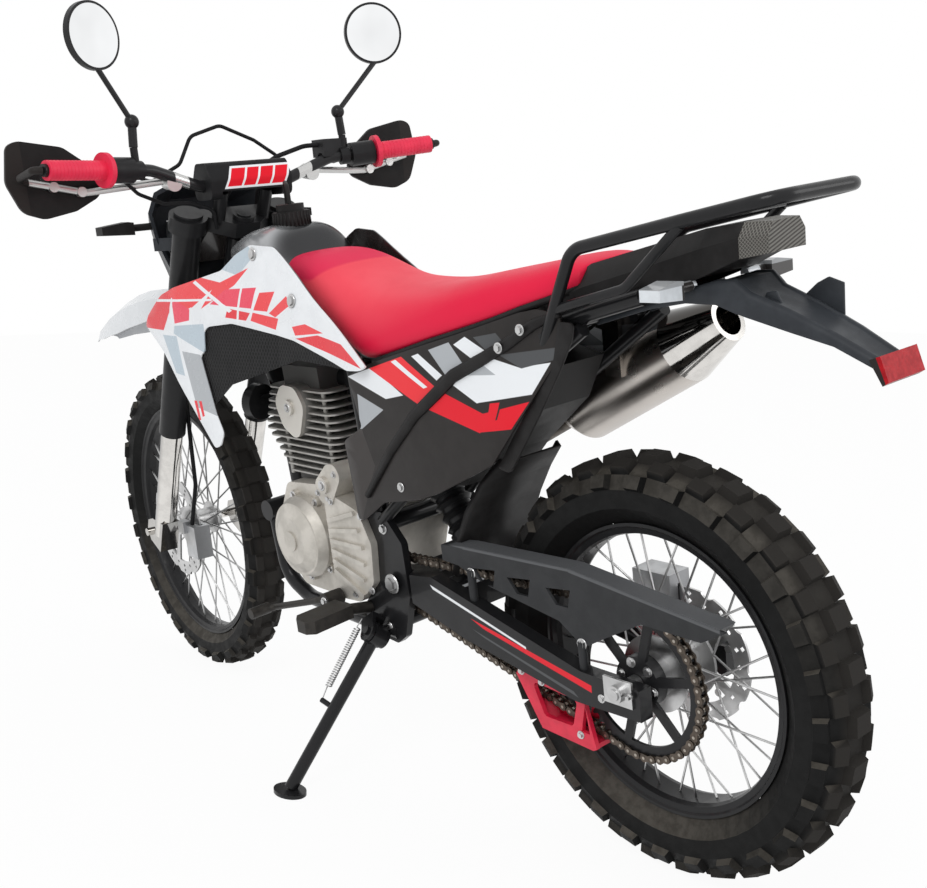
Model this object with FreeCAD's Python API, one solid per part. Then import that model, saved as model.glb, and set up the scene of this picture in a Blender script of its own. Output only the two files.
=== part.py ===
"""Dual sport motorcycle, parked on its side stand.

Every piece is drawn in the upright machine's own axes, in millimetres: x forward from the
rear axle, y to the rider's left, z up from the ground.  At the end each piece is turned
with the steering where it is steered, leaned onto the side stand, and moved so that the
origin is on the floor under the middle of the machine.
"""
import FreeCAD
import Part
import math
import os

# Driving dimensions, in millimetres and degrees
wheelbase = 1450.0
rake_angle = 27.0
trail = 110.0
lean_angle = 8.3
parked_steer = -4.5

front_tyre_radius = 350.0
front_tyre_width = 86.0
front_rim_radius = 272.0
front_rim_width = 46.0
front_rim_depth = 18.0
rear_tyre_radius = 340.0
rear_tyre_width = 116.0
rear_rim_radius = 236.0
rear_rim_width = 62.0
rear_rim_depth = 20.0
tyre_crown = 60.0
tread_middle_share = 0.33
tread_edge_share = 0.70
tyre_wall_share = 0.88
tread_rows = 28
front_lug_depth = 11.0
rear_lug_depth = 14.0
lug_draft = 0.16
spoke_radius = 1.8
spoke_count = 36
spoke_gap = 0.8
seat_gap = 0.3

axle_radius = 9.0
axle_clearance = 0.05
front_hub_radius = 24.0
front_flange_radius = 38.0
front_flange_offset = 31.0
rear_hub_radius = 36.0
rear_flange_radius = 62.0
rear_flange_offset = 33.0
flange_thickness = 5.0

front_disc_radius = 120.0
front_disc_plane = 52.0
rear_disc_radius = 110.0
rear_disc_plane = -56.0
disc_thickness = 4.0
disc_band = 30.0

chain_pitch = 15.875
rear_teeth = 48
front_teeth = 13
chain_plane = 72.5
chain_width = 17.0
chain_height = 15.0
chain_guard_inner_y = 66.0
tooth_root = 4.5
tooth_tip = 3.8
chain_groove = 9.0
chain_groove_top = 4.9
chain_waist = 2.2
generator_x = 809.0
generator_z = 447.0
generator_radius = 80.0
cover_ribs = 6
fin_count = 13
fin_pitch = 13.6
fin_thickness = 3.2
countershaft_x = 618.0
countershaft_z = 408.0

clamp_offset = 32.0
fork_half_spacing = 102.0
fork_tube_radius = 28.0
stanchion_radius = 23.5
top_clamp_station = 1148.0
lower_clamp_station = 962.0
clamp_thickness = 30.0
head_tube_low = 985.0
head_tube_high = 1127.0
stem_radius = 14.0
stem_clearance = 0.3
fork_tube_bottom = 655.0

bar_radius = 11.0
bar_centre_z = 1102.0
bar_end_y = 400.0
bar_end_z = 1150.0
grip_length = 122.0
grip_radius = 17.0

cradle_front_x = 968.0
pivot_x = 545.0
pivot_z = 402.0
pivot_bolt_radius = 9.0
fender_gap = 62.0
fender_skin = 9.0
shock_foot_x = 420.0
shock_foot_z = 448.0
shock_top_x = 600.0
shock_top_z = 702.0
spring_coils = 7
spring_wire = 7.0
arm_inner_y = 87.0
arm_outer_y = 113.0

stand_pivot_x = 592.0
stand_pivot_y = 128.0
stand_pivot_z = 300.0
stand_foot_x = 647.0
stand_foot_y = 327.0
stand_leg_radius = 12.0
stand_bolt_radius = 8.0
foot_length = 74.0
foot_width = 52.0
foot_thickness = 7.0

mirror_radius = 58.0
mirror_thickness = 11.0
mirror_toe_in = 20.0

cowl_plan = [(470, 134), (600, 130), (760, 134), (900, 150), (1060, 168), (1230, 172)]
cowl_thickness = 4.0
cowl_lean = 0.14
cowl_bolts = [(817, 984), (712, 906)]

silencer_y = -166.0
silencer_radius = 60.0
outlet_radius = 25.0

fender_reach = 391.0
mask_setback = 280.0
bar_setback = 437.0
bar_centre_x = wheelbase - bar_setback
bar_end_x = bar_centre_x - 65.0
cable_radius = 3.5
brake_hose_radius = 4.5

middle_x = 717.0
middle_y = -158.0


def vector(x, y, z):
    return FreeCAD.Vector(x, y, z)


def soft_outline(corners, radius):
    """A closed flat outline whose corners are rounded, as far as their sides allow."""
    count = len(corners)
    edges = []
    for index in range(count):
        before, corner, after = corners[index - 1], corners[index], corners[(index + 1) % count]
        into = (corner - before).normalize()
        out = (after - corner).normalize()
        turn = into.getAngle(out)
        back = min(radius * math.tan(turn / 2), 0.45 * (corner - before).Length,
                   0.45 * (after - corner).Length)
        edges.append((corner - into * back, corner, corner + out * back, turn, back))
    loop = []
    for index in range(count):
        start, corner, end, turn, back = edges[index]
        if back > 0.5:
            inward = ((start + end) * 0.5 - corner).normalize()
            size = back / math.tan(turn / 2)
            middle = corner + inward * (size / math.cos(turn / 2) - size)
            loop.append(Part.Arc(start, middle, end).toShape())
        else:
            loop.append(Part.LineSegment(start, corner).toShape())
            loop.append(Part.LineSegment(corner, end).toShape())
        following = edges[(index + 1) % count][0]
        if (following - end).Length > 1e-6:
            loop.append(Part.LineSegment(end, following).toShape())
    return Part.Wire(loop)


def prism(points, plane, low, high, radius=0):
    """A polygon drawn in one plane and pulled along the third axis from low to high."""
    if plane == "xz":
        corners = [vector(a, low, b) for a, b in points]
        pull = vector(0, high - low, 0)
    elif plane == "xy":
        corners = [vector(a, b, low) for a, b in points]
        pull = vector(0, 0, high - low)
    else:
        corners = [vector(low, a, b) for a, b in points]
        pull = vector(high - low, 0, 0)
    if radius:
        return Part.Face(soft_outline(corners, radius)).extrude(pull)
    return Part.Face(Part.makePolygon(corners + [corners[0]])).extrude(pull)


def rod(start, end, radius):
    """A round bar between two points."""
    run = end - start
    return Part.makeCylinder(radius, run.Length, start, run)


def taper(start, end, start_radius, end_radius):
    """A round bar whose radius changes evenly from end to end."""
    run = end - start
    return Part.makeCone(start_radius, end_radius, run.Length, start, run)


def join(shapes):
    """One solid from pieces that meet."""
    whole = shapes[0]
    for shape in shapes[1:]:
        whole = whole.fuse(shape)
    return whole


def mirrored(shape):
    """The same piece on the other side of the machine."""
    return shape.mirror(vector(0, 0, 0), vector(0, 1, 0))


def both_sides(shape):
    return Part.makeCompound(solids_of(shape) + solids_of(mirrored(shape)))


def solids_of(shape):
    return list(shape.Solids)


def bent_tube(points, radius, bend):
    """A round tube along straight runs joined by tangent arcs of the given bend radius."""
    corners = [vector(*p) for p in points]
    edges = []
    start = corners[0]
    for before, corner, after in zip(corners, corners[1:], corners[2:]):
        into = (corner - before).normalize()
        out = (after - corner).normalize()
        turn = into.getAngle(out)
        room = 0.45 * min((corner - before).Length, (after - corner).Length)
        back = min(bend * math.tan(turn / 2), room)
        arc_start = corner - into * back
        arc_end = corner + out * back
        size = back / math.tan(turn / 2)
        inward = (out - into).normalize()
        centre = corner + inward * (size / math.cos(turn / 2))
        edges.append(Part.LineSegment(start, arc_start).toShape())
        edges.append(Part.Arc(arc_start, centre - inward * size, arc_end).toShape())
        start = arc_end
    edges.append(Part.LineSegment(start, corners[-1]).toShape())
    path = Part.Wire(edges)
    heading = (corners[1] - corners[0]).normalize()
    section = Part.Face(Part.Wire(Part.makeCircle(radius, corners[0], heading)))
    return path.makePipe(section)


def ring_about_y(profile, centre_x, centre_z):
    """A profile of (radius, y) points turned about a cross axis."""
    corners = [vector(centre_x + r, y, centre_z) for r, y in profile]
    face = Part.Face(Part.makePolygon(corners + [corners[0]]))
    return face.revolve(vector(centre_x, 0, centre_z), vector(0, 1, 0), 360)


def disc_about_y(centre_x, centre_z, low_y, high_y, radius, bore=0.0):
    solid = Part.makeCylinder(radius, high_y - low_y, vector(centre_x, low_y, centre_z),
                              vector(0, 1, 0))
    if bore:
        solid = solid.cut(Part.makeCylinder(bore, high_y - low_y, vector(centre_x, low_y, centre_z),
                                            vector(0, 1, 0)))
    return solid


def lofted(stations):
    """A solid through closed outlines that all have the same number of corners."""
    wires = []
    for corners in stations:
        spots = [vector(*c) for c in corners]
        wires.append(Part.makePolygon(spots + [spots[0]]))
    return Part.makeLoft(wires, True, True)


def sheet_panel(outline, plan, thickness, lean_in, base_z, radius=0):
    """A bent sheet: the plan line (x, y) is thickened, pulled upwards while it leans in by
    lean_in for each millimetre of height, and trimmed to the side outline (x, z)."""
    low = min(z for _, z in outline) - 5
    high = max(z for _, z in outline) + 5
    outer = [vector(x, y - lean_in * (low - base_z), low) for x, y in plan]
    inner = [vector(x, y - thickness - lean_in * (low - base_z), low) for x, y in reversed(plan)]
    corners = outer + inner
    band = Part.Face(Part.makePolygon(corners + [corners[0]]))
    height = high - low
    band = band.extrude(vector(0, -lean_in * height, height))
    trim = prism(outline, "xz", 0, 400, radius)
    return band.common(trim)


def on_steering_axis(station, forward=0.0, side=0.0):
    """A point by its distance up the steering axis from the ground and forward of it."""
    rake = math.radians(rake_angle)
    x = wheelbase + trail - station * math.sin(rake) + forward * math.cos(rake)
    z = station * math.cos(rake) + forward * math.sin(rake)
    return vector(x, side, z)


def pitch_radius(teeth):
    return chain_pitch / (2 * math.sin(math.pi / teeth))


# Wheels


def tyre_profile(radius, width, rim_radius, rim_width, lug_depth, tilt):
    """Carcass corners (radius, y) from the tread's middle to the bead, and the lugs' heights.

    The middle lugs end where their edge meets the ground when the wheel tilts."""
    half = width / 2
    middle = tread_middle_share * half
    edge = tread_edge_share * half
    top_half = middle * (1 - lug_draft)
    ground = (radius - tyre_crown) * math.cos(tilt) + tyre_crown
    top = (ground - top_half * math.sin(tilt)) / math.cos(tilt)
    shoulder = radius - tyre_crown + math.sqrt(tyre_crown ** 2 - edge ** 2)
    height = radius - rim_radius
    bead = (rim_radius + seat_gap) / math.cos(math.pi / (2 * tread_rows))
    corners = [((top - lug_depth) / math.cos(math.pi / (2 * tread_rows)), middle),
               (shoulder - lug_depth * 0.8, edge),
               (radius - 0.46 * height, tyre_wall_share * half),
               (radius - 0.74 * height, (tyre_wall_share - 0.03) * half),
               (bead, rim_width / 2 - 4)]
    return corners, (lug_depth, lug_depth * 0.9, lug_depth * 0.8)


def tread_cell(corners, height):
    """One bare facet of the carcass, or with a height the four sides and top of its lug."""
    if not height:
        return [Part.Face(Part.makePolygon(corners + [corners[0]]))]
    middle = (corners[0] + corners[1] + corners[2] + corners[3]) * 0.25
    normal = (corners[3] - corners[1]).cross(corners[2] - corners[0]).normalize()
    tops = [middle + (c - middle) * (1 - lug_draft) + normal * height for c in corners]
    faces = [Part.Face(Part.makePolygon(tops + [tops[0]]))]
    for index in range(4):
        following = (index + 1) % 4
        loop = [corners[index], corners[following], tops[following], tops[index]]
        faces.append(Part.Face(Part.makePolygon(loop + [loop[0]])))
    return faces


def tyre(centre_x, centre_z, profile, lug_heights, first_turn):
    """A knobby tyre: rows of middle and shoulder lugs alternate with rows of pairs."""
    step = math.pi / tread_rows
    right_side = [(r, -y) for r, y in profile]
    loop = [profile[0]] + profile[1:] + right_side[::-1]
    count = len(loop)
    faces = []
    for row in range(2 * tread_rows):
        turns = (first_turn + (row - 0.5) * step, first_turn + (row + 0.5) * step)
        for strip in range(count):
            spots = []
            for (r, y), turn in ((loop[strip], turns[0]), (loop[strip], turns[1]),
                                 (loop[(strip + 1) % count], turns[1]),
                                 (loop[(strip + 1) % count], turns[0])):
                spots.append(vector(centre_x + r * math.sin(turn), y, centre_z - r * math.cos(turn)))
            raised = 0
            if row % 2 == 0 and strip == count - 1:
                raised = lug_heights[0]
            elif row % 2 == 1 and strip in (0, count - 2):
                raised = lug_heights[1]
            elif row % 2 == 0 and strip in (1, count - 3):
                raised = lug_heights[2]
            faces += tread_cell(spots, raised)
    shell = Part.makeShell(faces)
    shell.sewShape()
    solid = Part.makeSolid(shell)
    if solid.Volume < 0:
        solid.reverse()
    return solid


def rim(centre_x, centre_z, radius, width, depth):
    """A drop-centre rim: two flanges and a deep well."""
    half = width / 2
    inner = radius - depth
    profile = [
        (radius, half), (radius - 5, half), (radius - 8, half - 3), (inner + 3, half - 5),
        (inner, half - 14), (inner, -half + 14), (inner + 3, -half + 5), (radius - 8, -half + 3),
        (radius - 5, -half), (radius, -half),
        (radius, -half + 4), (radius - 5, -half + 9), (inner + 4, -half + 16),
        (inner + 4, half - 16), (radius - 5, half - 9), (radius, half - 4),
    ]
    return ring_about_y(profile, centre_x, centre_z)


def spoke_set(centre_x, centre_z, flange_radius, flange_offset, reach):
    """Crossed spokes from the two hub flanges out to the rim's inner face."""
    spokes = []
    step = 2 * math.pi / spoke_count
    crossing = 3.5 * step
    for index in range(spoke_count):
        side = 1 if index % 2 == 0 else -1
        lead = crossing if (index // 2) % 2 == 0 else -crossing
        rim_turn = index * step
        hub_turn = rim_turn + lead
        start = vector(centre_x + (flange_radius - 4) * math.cos(hub_turn), side * flange_offset,
                       centre_z + (flange_radius - 4) * math.sin(hub_turn))
        end = vector(centre_x + reach * math.cos(rim_turn), side * 3.0,
                     centre_z + reach * math.sin(rim_turn))
        spokes.append(rod(start, end, spoke_radius))
    return spokes


def brake_disc(centre_x, centre_z, plane, radius):
    """A drilled brake disc with a wavy edge on a five-armed carrier."""
    drill = 4.5
    low = plane - disc_thickness / 2
    high = plane + disc_thickness / 2
    band = disc_about_y(centre_x, centre_z, low, high, radius, radius - disc_band)
    waves = 10
    cuts = []
    for index in range(waves):
        turn = 2 * math.pi * index / waves
        cuts.append(disc_about_y(centre_x + (radius + 9) * math.cos(turn),
                                 centre_z + (radius + 9) * math.sin(turn), low, high, 15))
        for inset, share in ((8, 0.5), (20, 0.0), (20, 0.5)):
            spot = turn + share * 2 * math.pi / waves
            hole = [(centre_x + (radius - inset) * math.cos(spot) + drill * a,
                     centre_z + (radius - inset) * math.sin(spot) + drill * b)
                    for a, b in ((1, 0), (0, 1), (-1, 0), (0, -1))]
            cuts.append(prism(hole, "xz", low, high))
    band = band.cut(Part.makeCompound(cuts))
    arms = []
    for index in range(5):
        arm = Part.makeBox(radius - disc_band + 8, high - low, 18,
                           vector(centre_x, low, centre_z - 9))
        arm.rotate(vector(centre_x, 0, centre_z), vector(0, 1, 0), index * 72)
        arms.append(arm)
    return [band] + arms


def wheel_hub(centre_x, centre_z, hub_radius, flange_radius, flange_offset, reach, disc_plane,
              disc_radius, end_low, end_high):
    """Hub barrel, spoke flanges, spokes and brake disc as one piece, bored for its axle."""
    pieces = [disc_about_y(centre_x, centre_z, end_low, end_high, hub_radius)]
    for side in (1, -1):
        middle = side * flange_offset
        pieces.append(disc_about_y(centre_x, centre_z, middle - flange_thickness / 2,
                                   middle + flange_thickness / 2, flange_radius))
    pieces += spoke_set(centre_x, centre_z, flange_radius, flange_offset, reach)
    pieces += brake_disc(centre_x, centre_z, disc_plane, disc_radius)
    whole = join(pieces)
    bore = disc_about_y(centre_x, centre_z, end_low - 1, end_high + 1,
                        axle_radius + axle_clearance)
    return whole.cut(bore)


def front_wheel():
    x, z = wheelbase, front_tyre_radius
    reach = front_rim_radius - front_rim_depth - spoke_gap
    tilt, lowest, rise = turned_wheel()
    profile, heights = tyre_profile(front_tyre_radius - rise, front_tyre_width, front_rim_radius,
                                    front_rim_width, front_lug_depth, tilt)
    return {
        "front_tyre": tyre(x, z, profile, heights, lowest),
        "front_rim": rim(x, z, front_rim_radius, front_rim_width, front_rim_depth),
        "front_hub": wheel_hub(x, z, front_hub_radius, front_flange_radius, front_flange_offset,
                               reach, front_disc_plane, front_disc_radius, -46, 56),
    }


def toothed_outline(teeth, centre_x, centre_z):
    """Corners of a sprocket's edge: a root, two flanks and a tip for each tooth."""
    pitch = pitch_radius(teeth)
    step = 2 * math.pi / teeth
    corners = []
    for index in range(teeth):
        for share, offset in ((-0.30, -tooth_root), (-0.10, tooth_tip), (0.10, tooth_tip),
                              (0.30, -tooth_root)):
            turn = (index + share) * step
            corners.append((centre_x + (pitch + offset) * math.cos(turn),
                            centre_z + (pitch + offset) * math.sin(turn)))
    return corners


def rear_sprocket():
    """A toothed ring on six arms, bolted to the hub's left end."""
    root = pitch_radius(rear_teeth) - tooth_root
    low, high = chain_plane - 3, chain_plane + 3
    ring = prism(toothed_outline(rear_teeth, 0, rear_tyre_radius), "xz", low, high)
    ring = ring.cut(disc_about_y(0, rear_tyre_radius, low, high, root - 15))
    pieces = [ring, disc_about_y(0, rear_tyre_radius, rear_flange_offset + 22, high, 42)]
    for index in range(6):
        arm = Part.makeBox(root - 8, high - low, 15, vector(0, low, rear_tyre_radius - 7.5))
        arm.rotate(vector(0, 0, rear_tyre_radius), vector(0, 1, 0), index * 60 + 14)
        pieces.append(arm)
    whole = join(pieces)
    return whole.cut(disc_about_y(0, rear_tyre_radius, 0, 100, axle_radius + axle_clearance))


def rear_wheel():
    z = rear_tyre_radius
    reach = rear_rim_radius - rear_rim_depth - spoke_gap
    profile, heights = tyre_profile(rear_tyre_radius, rear_tyre_width, rear_rim_radius,
                                    rear_rim_width, rear_lug_depth, math.radians(lean_angle))
    return {
        "rear_tyre": tyre(0, z, profile, heights, 0),
        "rear_rim": rim(0, z, rear_rim_radius, rear_rim_width, rear_rim_depth),
        "rear_hub": wheel_hub(0, z, rear_hub_radius, rear_flange_radius, rear_flange_offset,
                              reach, rear_disc_plane, rear_disc_radius, -60,
                              rear_flange_offset + 22 - seat_gap),
        "rear_sprocket": rear_sprocket(),
    }


# Front end


def triple_clamps():
    """Upper and lower fork clamps on the steering stem, with the two bar risers."""
    pieces = []
    for station in (top_clamp_station, lower_clamp_station):
        low = station - clamp_thickness / 2
        high = station + clamp_thickness / 2
        bridge = []
        for forward, side in ((-22, 26), (-22, -26), (clamp_offset + 20, -fork_half_spacing),
                              (clamp_offset + 20, fork_half_spacing)):
            bridge.append(on_steering_axis(low, forward, side))
        face = Part.Face(Part.makePolygon(bridge + [bridge[0]]))
        pieces.append(face.extrude(on_steering_axis(high) - on_steering_axis(low)))
        for side in (fork_half_spacing, -fork_half_spacing):
            pieces.append(rod(on_steering_axis(low, clamp_offset, side),
                              on_steering_axis(high, clamp_offset, side), fork_tube_radius + 9))
    whole = join(pieces)
    for side in (fork_half_spacing, -fork_half_spacing):
        whole = whole.cut(rod(on_steering_axis(500, clamp_offset, side),
                              on_steering_axis(1300, clamp_offset, side), fork_tube_radius))
    stem = rod(on_steering_axis(lower_clamp_station), on_steering_axis(top_clamp_station + 26), 14)
    nut = rod(on_steering_axis(top_clamp_station + 14), on_steering_axis(top_clamp_station + 24), 21)
    pieces = [whole, stem, nut]
    for side in (48, -48):
        pieces.append(rod(on_steering_axis(top_clamp_station + 10, 12, side),
                          vector(bar_centre_x, side, bar_centre_z - bar_radius - seat_gap), 13))
    return join(pieces).cut(rod(vector(bar_centre_x, -90, bar_centre_z),
                                vector(bar_centre_x, 90, bar_centre_z), bar_radius + seat_gap))


def fork_tubes():
    """The two black outer tubes of the upside-down fork."""
    tubes = []
    for side in (fork_half_spacing, -fork_half_spacing):
        top = on_steering_axis(top_clamp_station + 22, clamp_offset, side)
        bottom = on_steering_axis(fork_tube_bottom, clamp_offset, side)
        outer = rod(bottom, top, fork_tube_radius)
        tubes.append(outer.cut(rod(bottom, on_steering_axis(fork_tube_bottom + 60, clamp_offset,
                                                            side), stanchion_radius + seat_gap)))
    return Part.makeCompound(tubes)


def fork_stanchions():
    """Chromed inner tubes, axle lugs and the front axle, as one piece."""
    pieces = []
    rake = math.radians(rake_angle)
    axle_station = trail * math.sin(rake) + front_tyre_radius * math.cos(rake)
    for side in (fork_half_spacing, -fork_half_spacing):
        low = on_steering_axis(axle_station + 12, clamp_offset, side)
        high = on_steering_axis(fork_tube_bottom + 58, clamp_offset, side)
        pieces.append(rod(low, high, stanchion_radius))
        inner = 80 if side > 0 else -80
        outline = [(-24, -22), (26, -22), (46, -2), (46, 22), (26, 40), (-24, 58)]
        lug = []
        for forward, up in outline:
            lug.append(on_steering_axis(axle_station + up, clamp_offset + forward, inner))
        face = Part.Face(Part.makePolygon(lug + [lug[0]]))
        width = (side - inner) + math.copysign(20, side)
        pieces.append(face.extrude(vector(0, width, 0)))
    pieces.append(disc_about_y(wheelbase, front_tyre_radius, -132, 132, axle_radius))
    return join(pieces)


def handlebar():
    """A wide bar with a rise and a backward sweep."""
    left = [(bar_centre_x, 92, bar_centre_z), (bar_centre_x - 12, 190, bar_centre_z + 36),
            (bar_end_x, bar_end_y + 8, bar_end_z)]
    right = [(x, -y, z) for x, y, z in reversed(left)]
    return bent_tube(right + left, bar_radius, 60)


def bar_direction(side):
    """The line along the outer, straight stretch of the bar on one side."""
    start = vector(bar_centre_x - 12, 190 * side, bar_centre_z + 36)
    end = vector(bar_end_x, (bar_end_y + 8) * side, bar_end_z)
    return (end - start).normalize(), end


def on_bar(side, distance):
    """A point on the bar, measured inwards from its end."""
    along, end = bar_direction(side)
    return end - along * distance


def grips():
    """Rubber grips with a broad inner flange, one on each end of the bar."""
    pieces = []
    for side in (1, -1):
        barrel = rod(on_bar(side, grip_length), on_bar(side, 6), grip_radius)
        flange = rod(on_bar(side, grip_length + 7), on_bar(side, grip_length - 2), grip_radius + 14)
        whole = join([barrel, flange])
        pieces += solids_of(whole.cut(rod(on_bar(side, 170), on_bar(side, -20),
                                          bar_radius + seat_gap)))
    return Part.makeCompound(pieces)


def bar_pad():
    """A foam pad over the middle of the bar."""
    x, z = bar_centre_x, bar_centre_z
    outline = [(x - 34, z - 26), (x - 38, z + 10), (x - 22, z + 42), (x + 22, z + 42),
               (x + 38, z + 16), (x + 36, z - 26)]
    pad = prism(outline, "xz", -86, 86, 14)
    pad = pad.cut(rod(vector(x, -120, z), vector(x, 120, z), bar_radius + seat_gap))
    slot = prism([(x - 60, z - 40), (x - 60, z - 12), (x + 60, z - 12), (x + 60, z - 40)], "xz",
                 -64, 64)
    return pad.cut(slot)


def bar_controls():
    """Switch boxes, lever perches, levers, mirror clamps and the master cylinder."""
    pieces = []
    for side in (1, -1):
        box = rod(on_bar(side, grip_length + 58), on_bar(side, grip_length + 10), 23)
        clamp = rod(on_bar(side, grip_length + 80), on_bar(side, grip_length + 62), 17)
        perch_at = on_bar(side, grip_length + 71)
        forward = vector(1, 0, -0.12).normalize()
        perch = rod(perch_at, perch_at + forward * 44, 8)
        lever_start = perch_at + forward * 38
        lever_knee = on_bar(side, grip_length - 6) + forward * 62
        lever_end = on_bar(side, 26) + forward * 66
        lever = bent_tube([tuple(lever_start), tuple(lever_knee), tuple(lever_end)], 5.5, 60)
        ball = Part.makeSphere(8, lever_end)
        stalk = rod(perch_at, perch_at + vector(0, 0, 40), 7)
        group = [box, clamp, perch, lever, ball, stalk]
        if side < 0:
            bottle = perch_at + vector(18, 20, 22)
            group.append(Part.makeBox(44, 56, 34, bottle + vector(-22, -28, -22)))
        whole = join(group)
        whole = whole.cut(rod(on_bar(side, 260), on_bar(side, 0), bar_radius + seat_gap))
        pieces += solids_of(whole)
    return Part.makeCompound(pieces)


def handguards():
    """Bar-end braces and the wide shields in front of the grips."""
    pieces = []
    for side in (1, -1):
        end = on_bar(side, 0)
        start = end + bar_direction(side)[0] * seat_gap
        nose = vector(bar_centre_x + 33, side * 424, 1138)
        inner = vector(bar_centre_x + 37, side * 300, 1108)
        back = vector(bar_centre_x + 8, side * 152, 1118)
        path = [tuple(start), tuple(start + bar_direction(side)[0] * 16 + vector(6, 0, 0)),
                tuple(nose), tuple(inner), tuple(back)]
        brace = bent_tube(path, 6.5, 30)
        outline = [(429, 1197), (409, 1205), (329, 1190), (276, 1150), (263, 1104), (320, 1077),
                   (379, 1067), (418, 1081), (440, 1134)]
        face = bar_centre_x + 43
        shield = prism([(side * a, b) for a, b in outline], "yz", face, face + 8, 30)
        links = []
        for y, z in ((360, 1122), (310, 1110)):
            links.append(rod(vector(face - 16, side * y, z), vector(face + 4, side * y, z), 9))
        clamp = rod(vector(bar_centre_x - 14, side * 148, 1112),
                    vector(bar_centre_x + 16, side * 148, 1116), 15)
        pieces += solids_of(join([brace, shield, clamp] + links))
    return Part.makeCompound(pieces)


def mirrors():
    """Round mirrors on jointed stalks that stand on the lever clamps."""
    pieces = []
    for side in (1, -1):
        base = on_bar(side, grip_length + 71) + vector(0, 0, 40 + seat_gap)
        centre = vector(bar_centre_x - 13, side * (264 if side > 0 else 322), 1371)
        neck = base + vector(0, side * -4, 44)
        collar = rod(base, neck, 8)
        knuckle = Part.makeSphere(13, neck)
        facing = vector(-math.cos(math.radians(mirror_toe_in)),
                        -side * math.sin(math.radians(mirror_toe_in)), 0)
        lower_edge = centre + vector(0, 0, -mirror_radius * 0.9)
        stalk = rod(neck, lower_edge, 5)
        head = Part.makeCylinder(mirror_radius, mirror_thickness,
                                 centre - facing * (mirror_thickness / 2), facing)
        pieces += solids_of(join([collar, knuckle, stalk, head]))
    return Part.makeCompound(pieces)


def front_fender():
    """A high mudguard under the lower clamp: a long open trough with drooping sides."""
    skin = 4.0
    stations = [
        (-300, 838, 46, 16), (-240, 864, 60, 34), (-180, 881, 64, 44), (-120, 892, 68, 52),
        (-55, 893, 72, 62), (10, 888, 76, 70), (80, 876, 75, 71), (150, 858, 72, 68),
        (215, 838, 66, 58), (270, 815, 60, 46), (335, 790, 47, 28), (fender_reach, 765, 30, 14),
    ]
    outlines = []
    for forward, top, half, drop in stations:
        x = wheelbase + forward
        outer = [(half, top - drop), (half * 0.86, top - drop * 0.30), (half * 0.45, top),
                 (-half * 0.45, top), (-half * 0.86, top - drop * 0.30), (-half, top - drop)]
        inner = [(-half + skin, top - drop), (-half * 0.86 + skin, top - drop * 0.30 - skin),
                 (-half * 0.45 + 1, top - skin), (half * 0.45 - 1, top - skin),
                 (half * 0.86 - skin, top - drop * 0.30 - skin), (half - skin, top - drop)]
        outlines.append([(x, y, z) for y, z in outer + inner])
    pad = Part.makeBox(46, 56, 30, vector(wheelbase - 304, -28, 842))
    return join([lofted(outlines), pad])


def headlight_mask():
    """A flat-sided nose mask, open at the back, with the lamp's square opening."""
    outline = [(-118, 1098), (-136, 1060), (-128, 1010), (-98, 925), (-60, 905), (60, 905),
               (98, 925), (128, 1010), (136, 1060), (118, 1098), (70, 1118), (-70, 1118)]
    front = [(y * 0.72, 1010 + (z - 1010) * 0.82) for y, z in outline]
    back_x, front_x = wheelbase - mask_setback, wheelbase - mask_setback + 92
    block = lofted([[(back_x, y, z) for y, z in outline], [(front_x, y, z - 12) for y, z in front]])
    hollow = lofted([[(back_x - 6, y * 0.96, 1010 + (z - 1010) * 0.95) for y, z in outline],
                     [(front_x - 6, y * 0.95, 1010 + (z - 1022) * 0.94) for y, z in front]])
    shell = block.cut(hollow)
    window = prism(lamp_outline(), "yz", front_x - 22, front_x + 38)
    brackets = []
    for side in (1, -1):
        arm = [(back_x - 75, side * 88), (back_x + 10, side * 120), (back_x + 14, side * 128),
               (back_x - 75, side * 98)]
        brackets.append(prism(arm, "xy", 985, 1010))
    return join([shell.cut(window)] + brackets)


def lamp_outline():
    return [(-62, 1040), (-70, 985), (-48, 952), (48, 952), (70, 985), (62, 1040)]


def headlamp():
    """The lamp unit that fills the mask's opening."""
    small = [(y * 0.985, 996 + (z - 996) * 0.985) for y, z in lamp_outline()]
    front_x = wheelbase - mask_setback + 94
    return prism(small, "yz", front_x - 59, front_x)


def indicator(x, y, z, side, length, stem):
    """A flat wedge lamp on a short rubber stem."""
    outline = [(0, -13), (length, -9), (length, 7), (12, 13), (0, 11)]
    lamp = prism([(side * a + y, b + z) for a, b in outline], "yz", x - 17, x + 17)
    root = rod(vector(x, y - side * stem, z), vector(x, y + side * 4, z), 7)
    return join([lamp, root])


def front_indicators():
    return both_sides(indicator(wheelbase - mask_setback + 18, 168, 1034, 1, 66, 48))


def front_caliper():
    """Brake caliper behind the left fork leg, on its bracket, gripping the disc."""
    x, z = wheelbase - 112, front_tyre_radius - 18
    body = Part.makeBox(52, 38, 74, vector(x - 24, front_disc_plane - 14, z - 36))
    bracket = Part.makeBox(30, 20, 26, vector(x + 14, front_disc_plane + 12, z + 20))
    slot = disc_about_y(wheelbase, front_tyre_radius, front_disc_plane - 4, front_disc_plane + 4,
                        front_disc_radius + 6)
    return join([body, bracket]).cut(slot)


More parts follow.
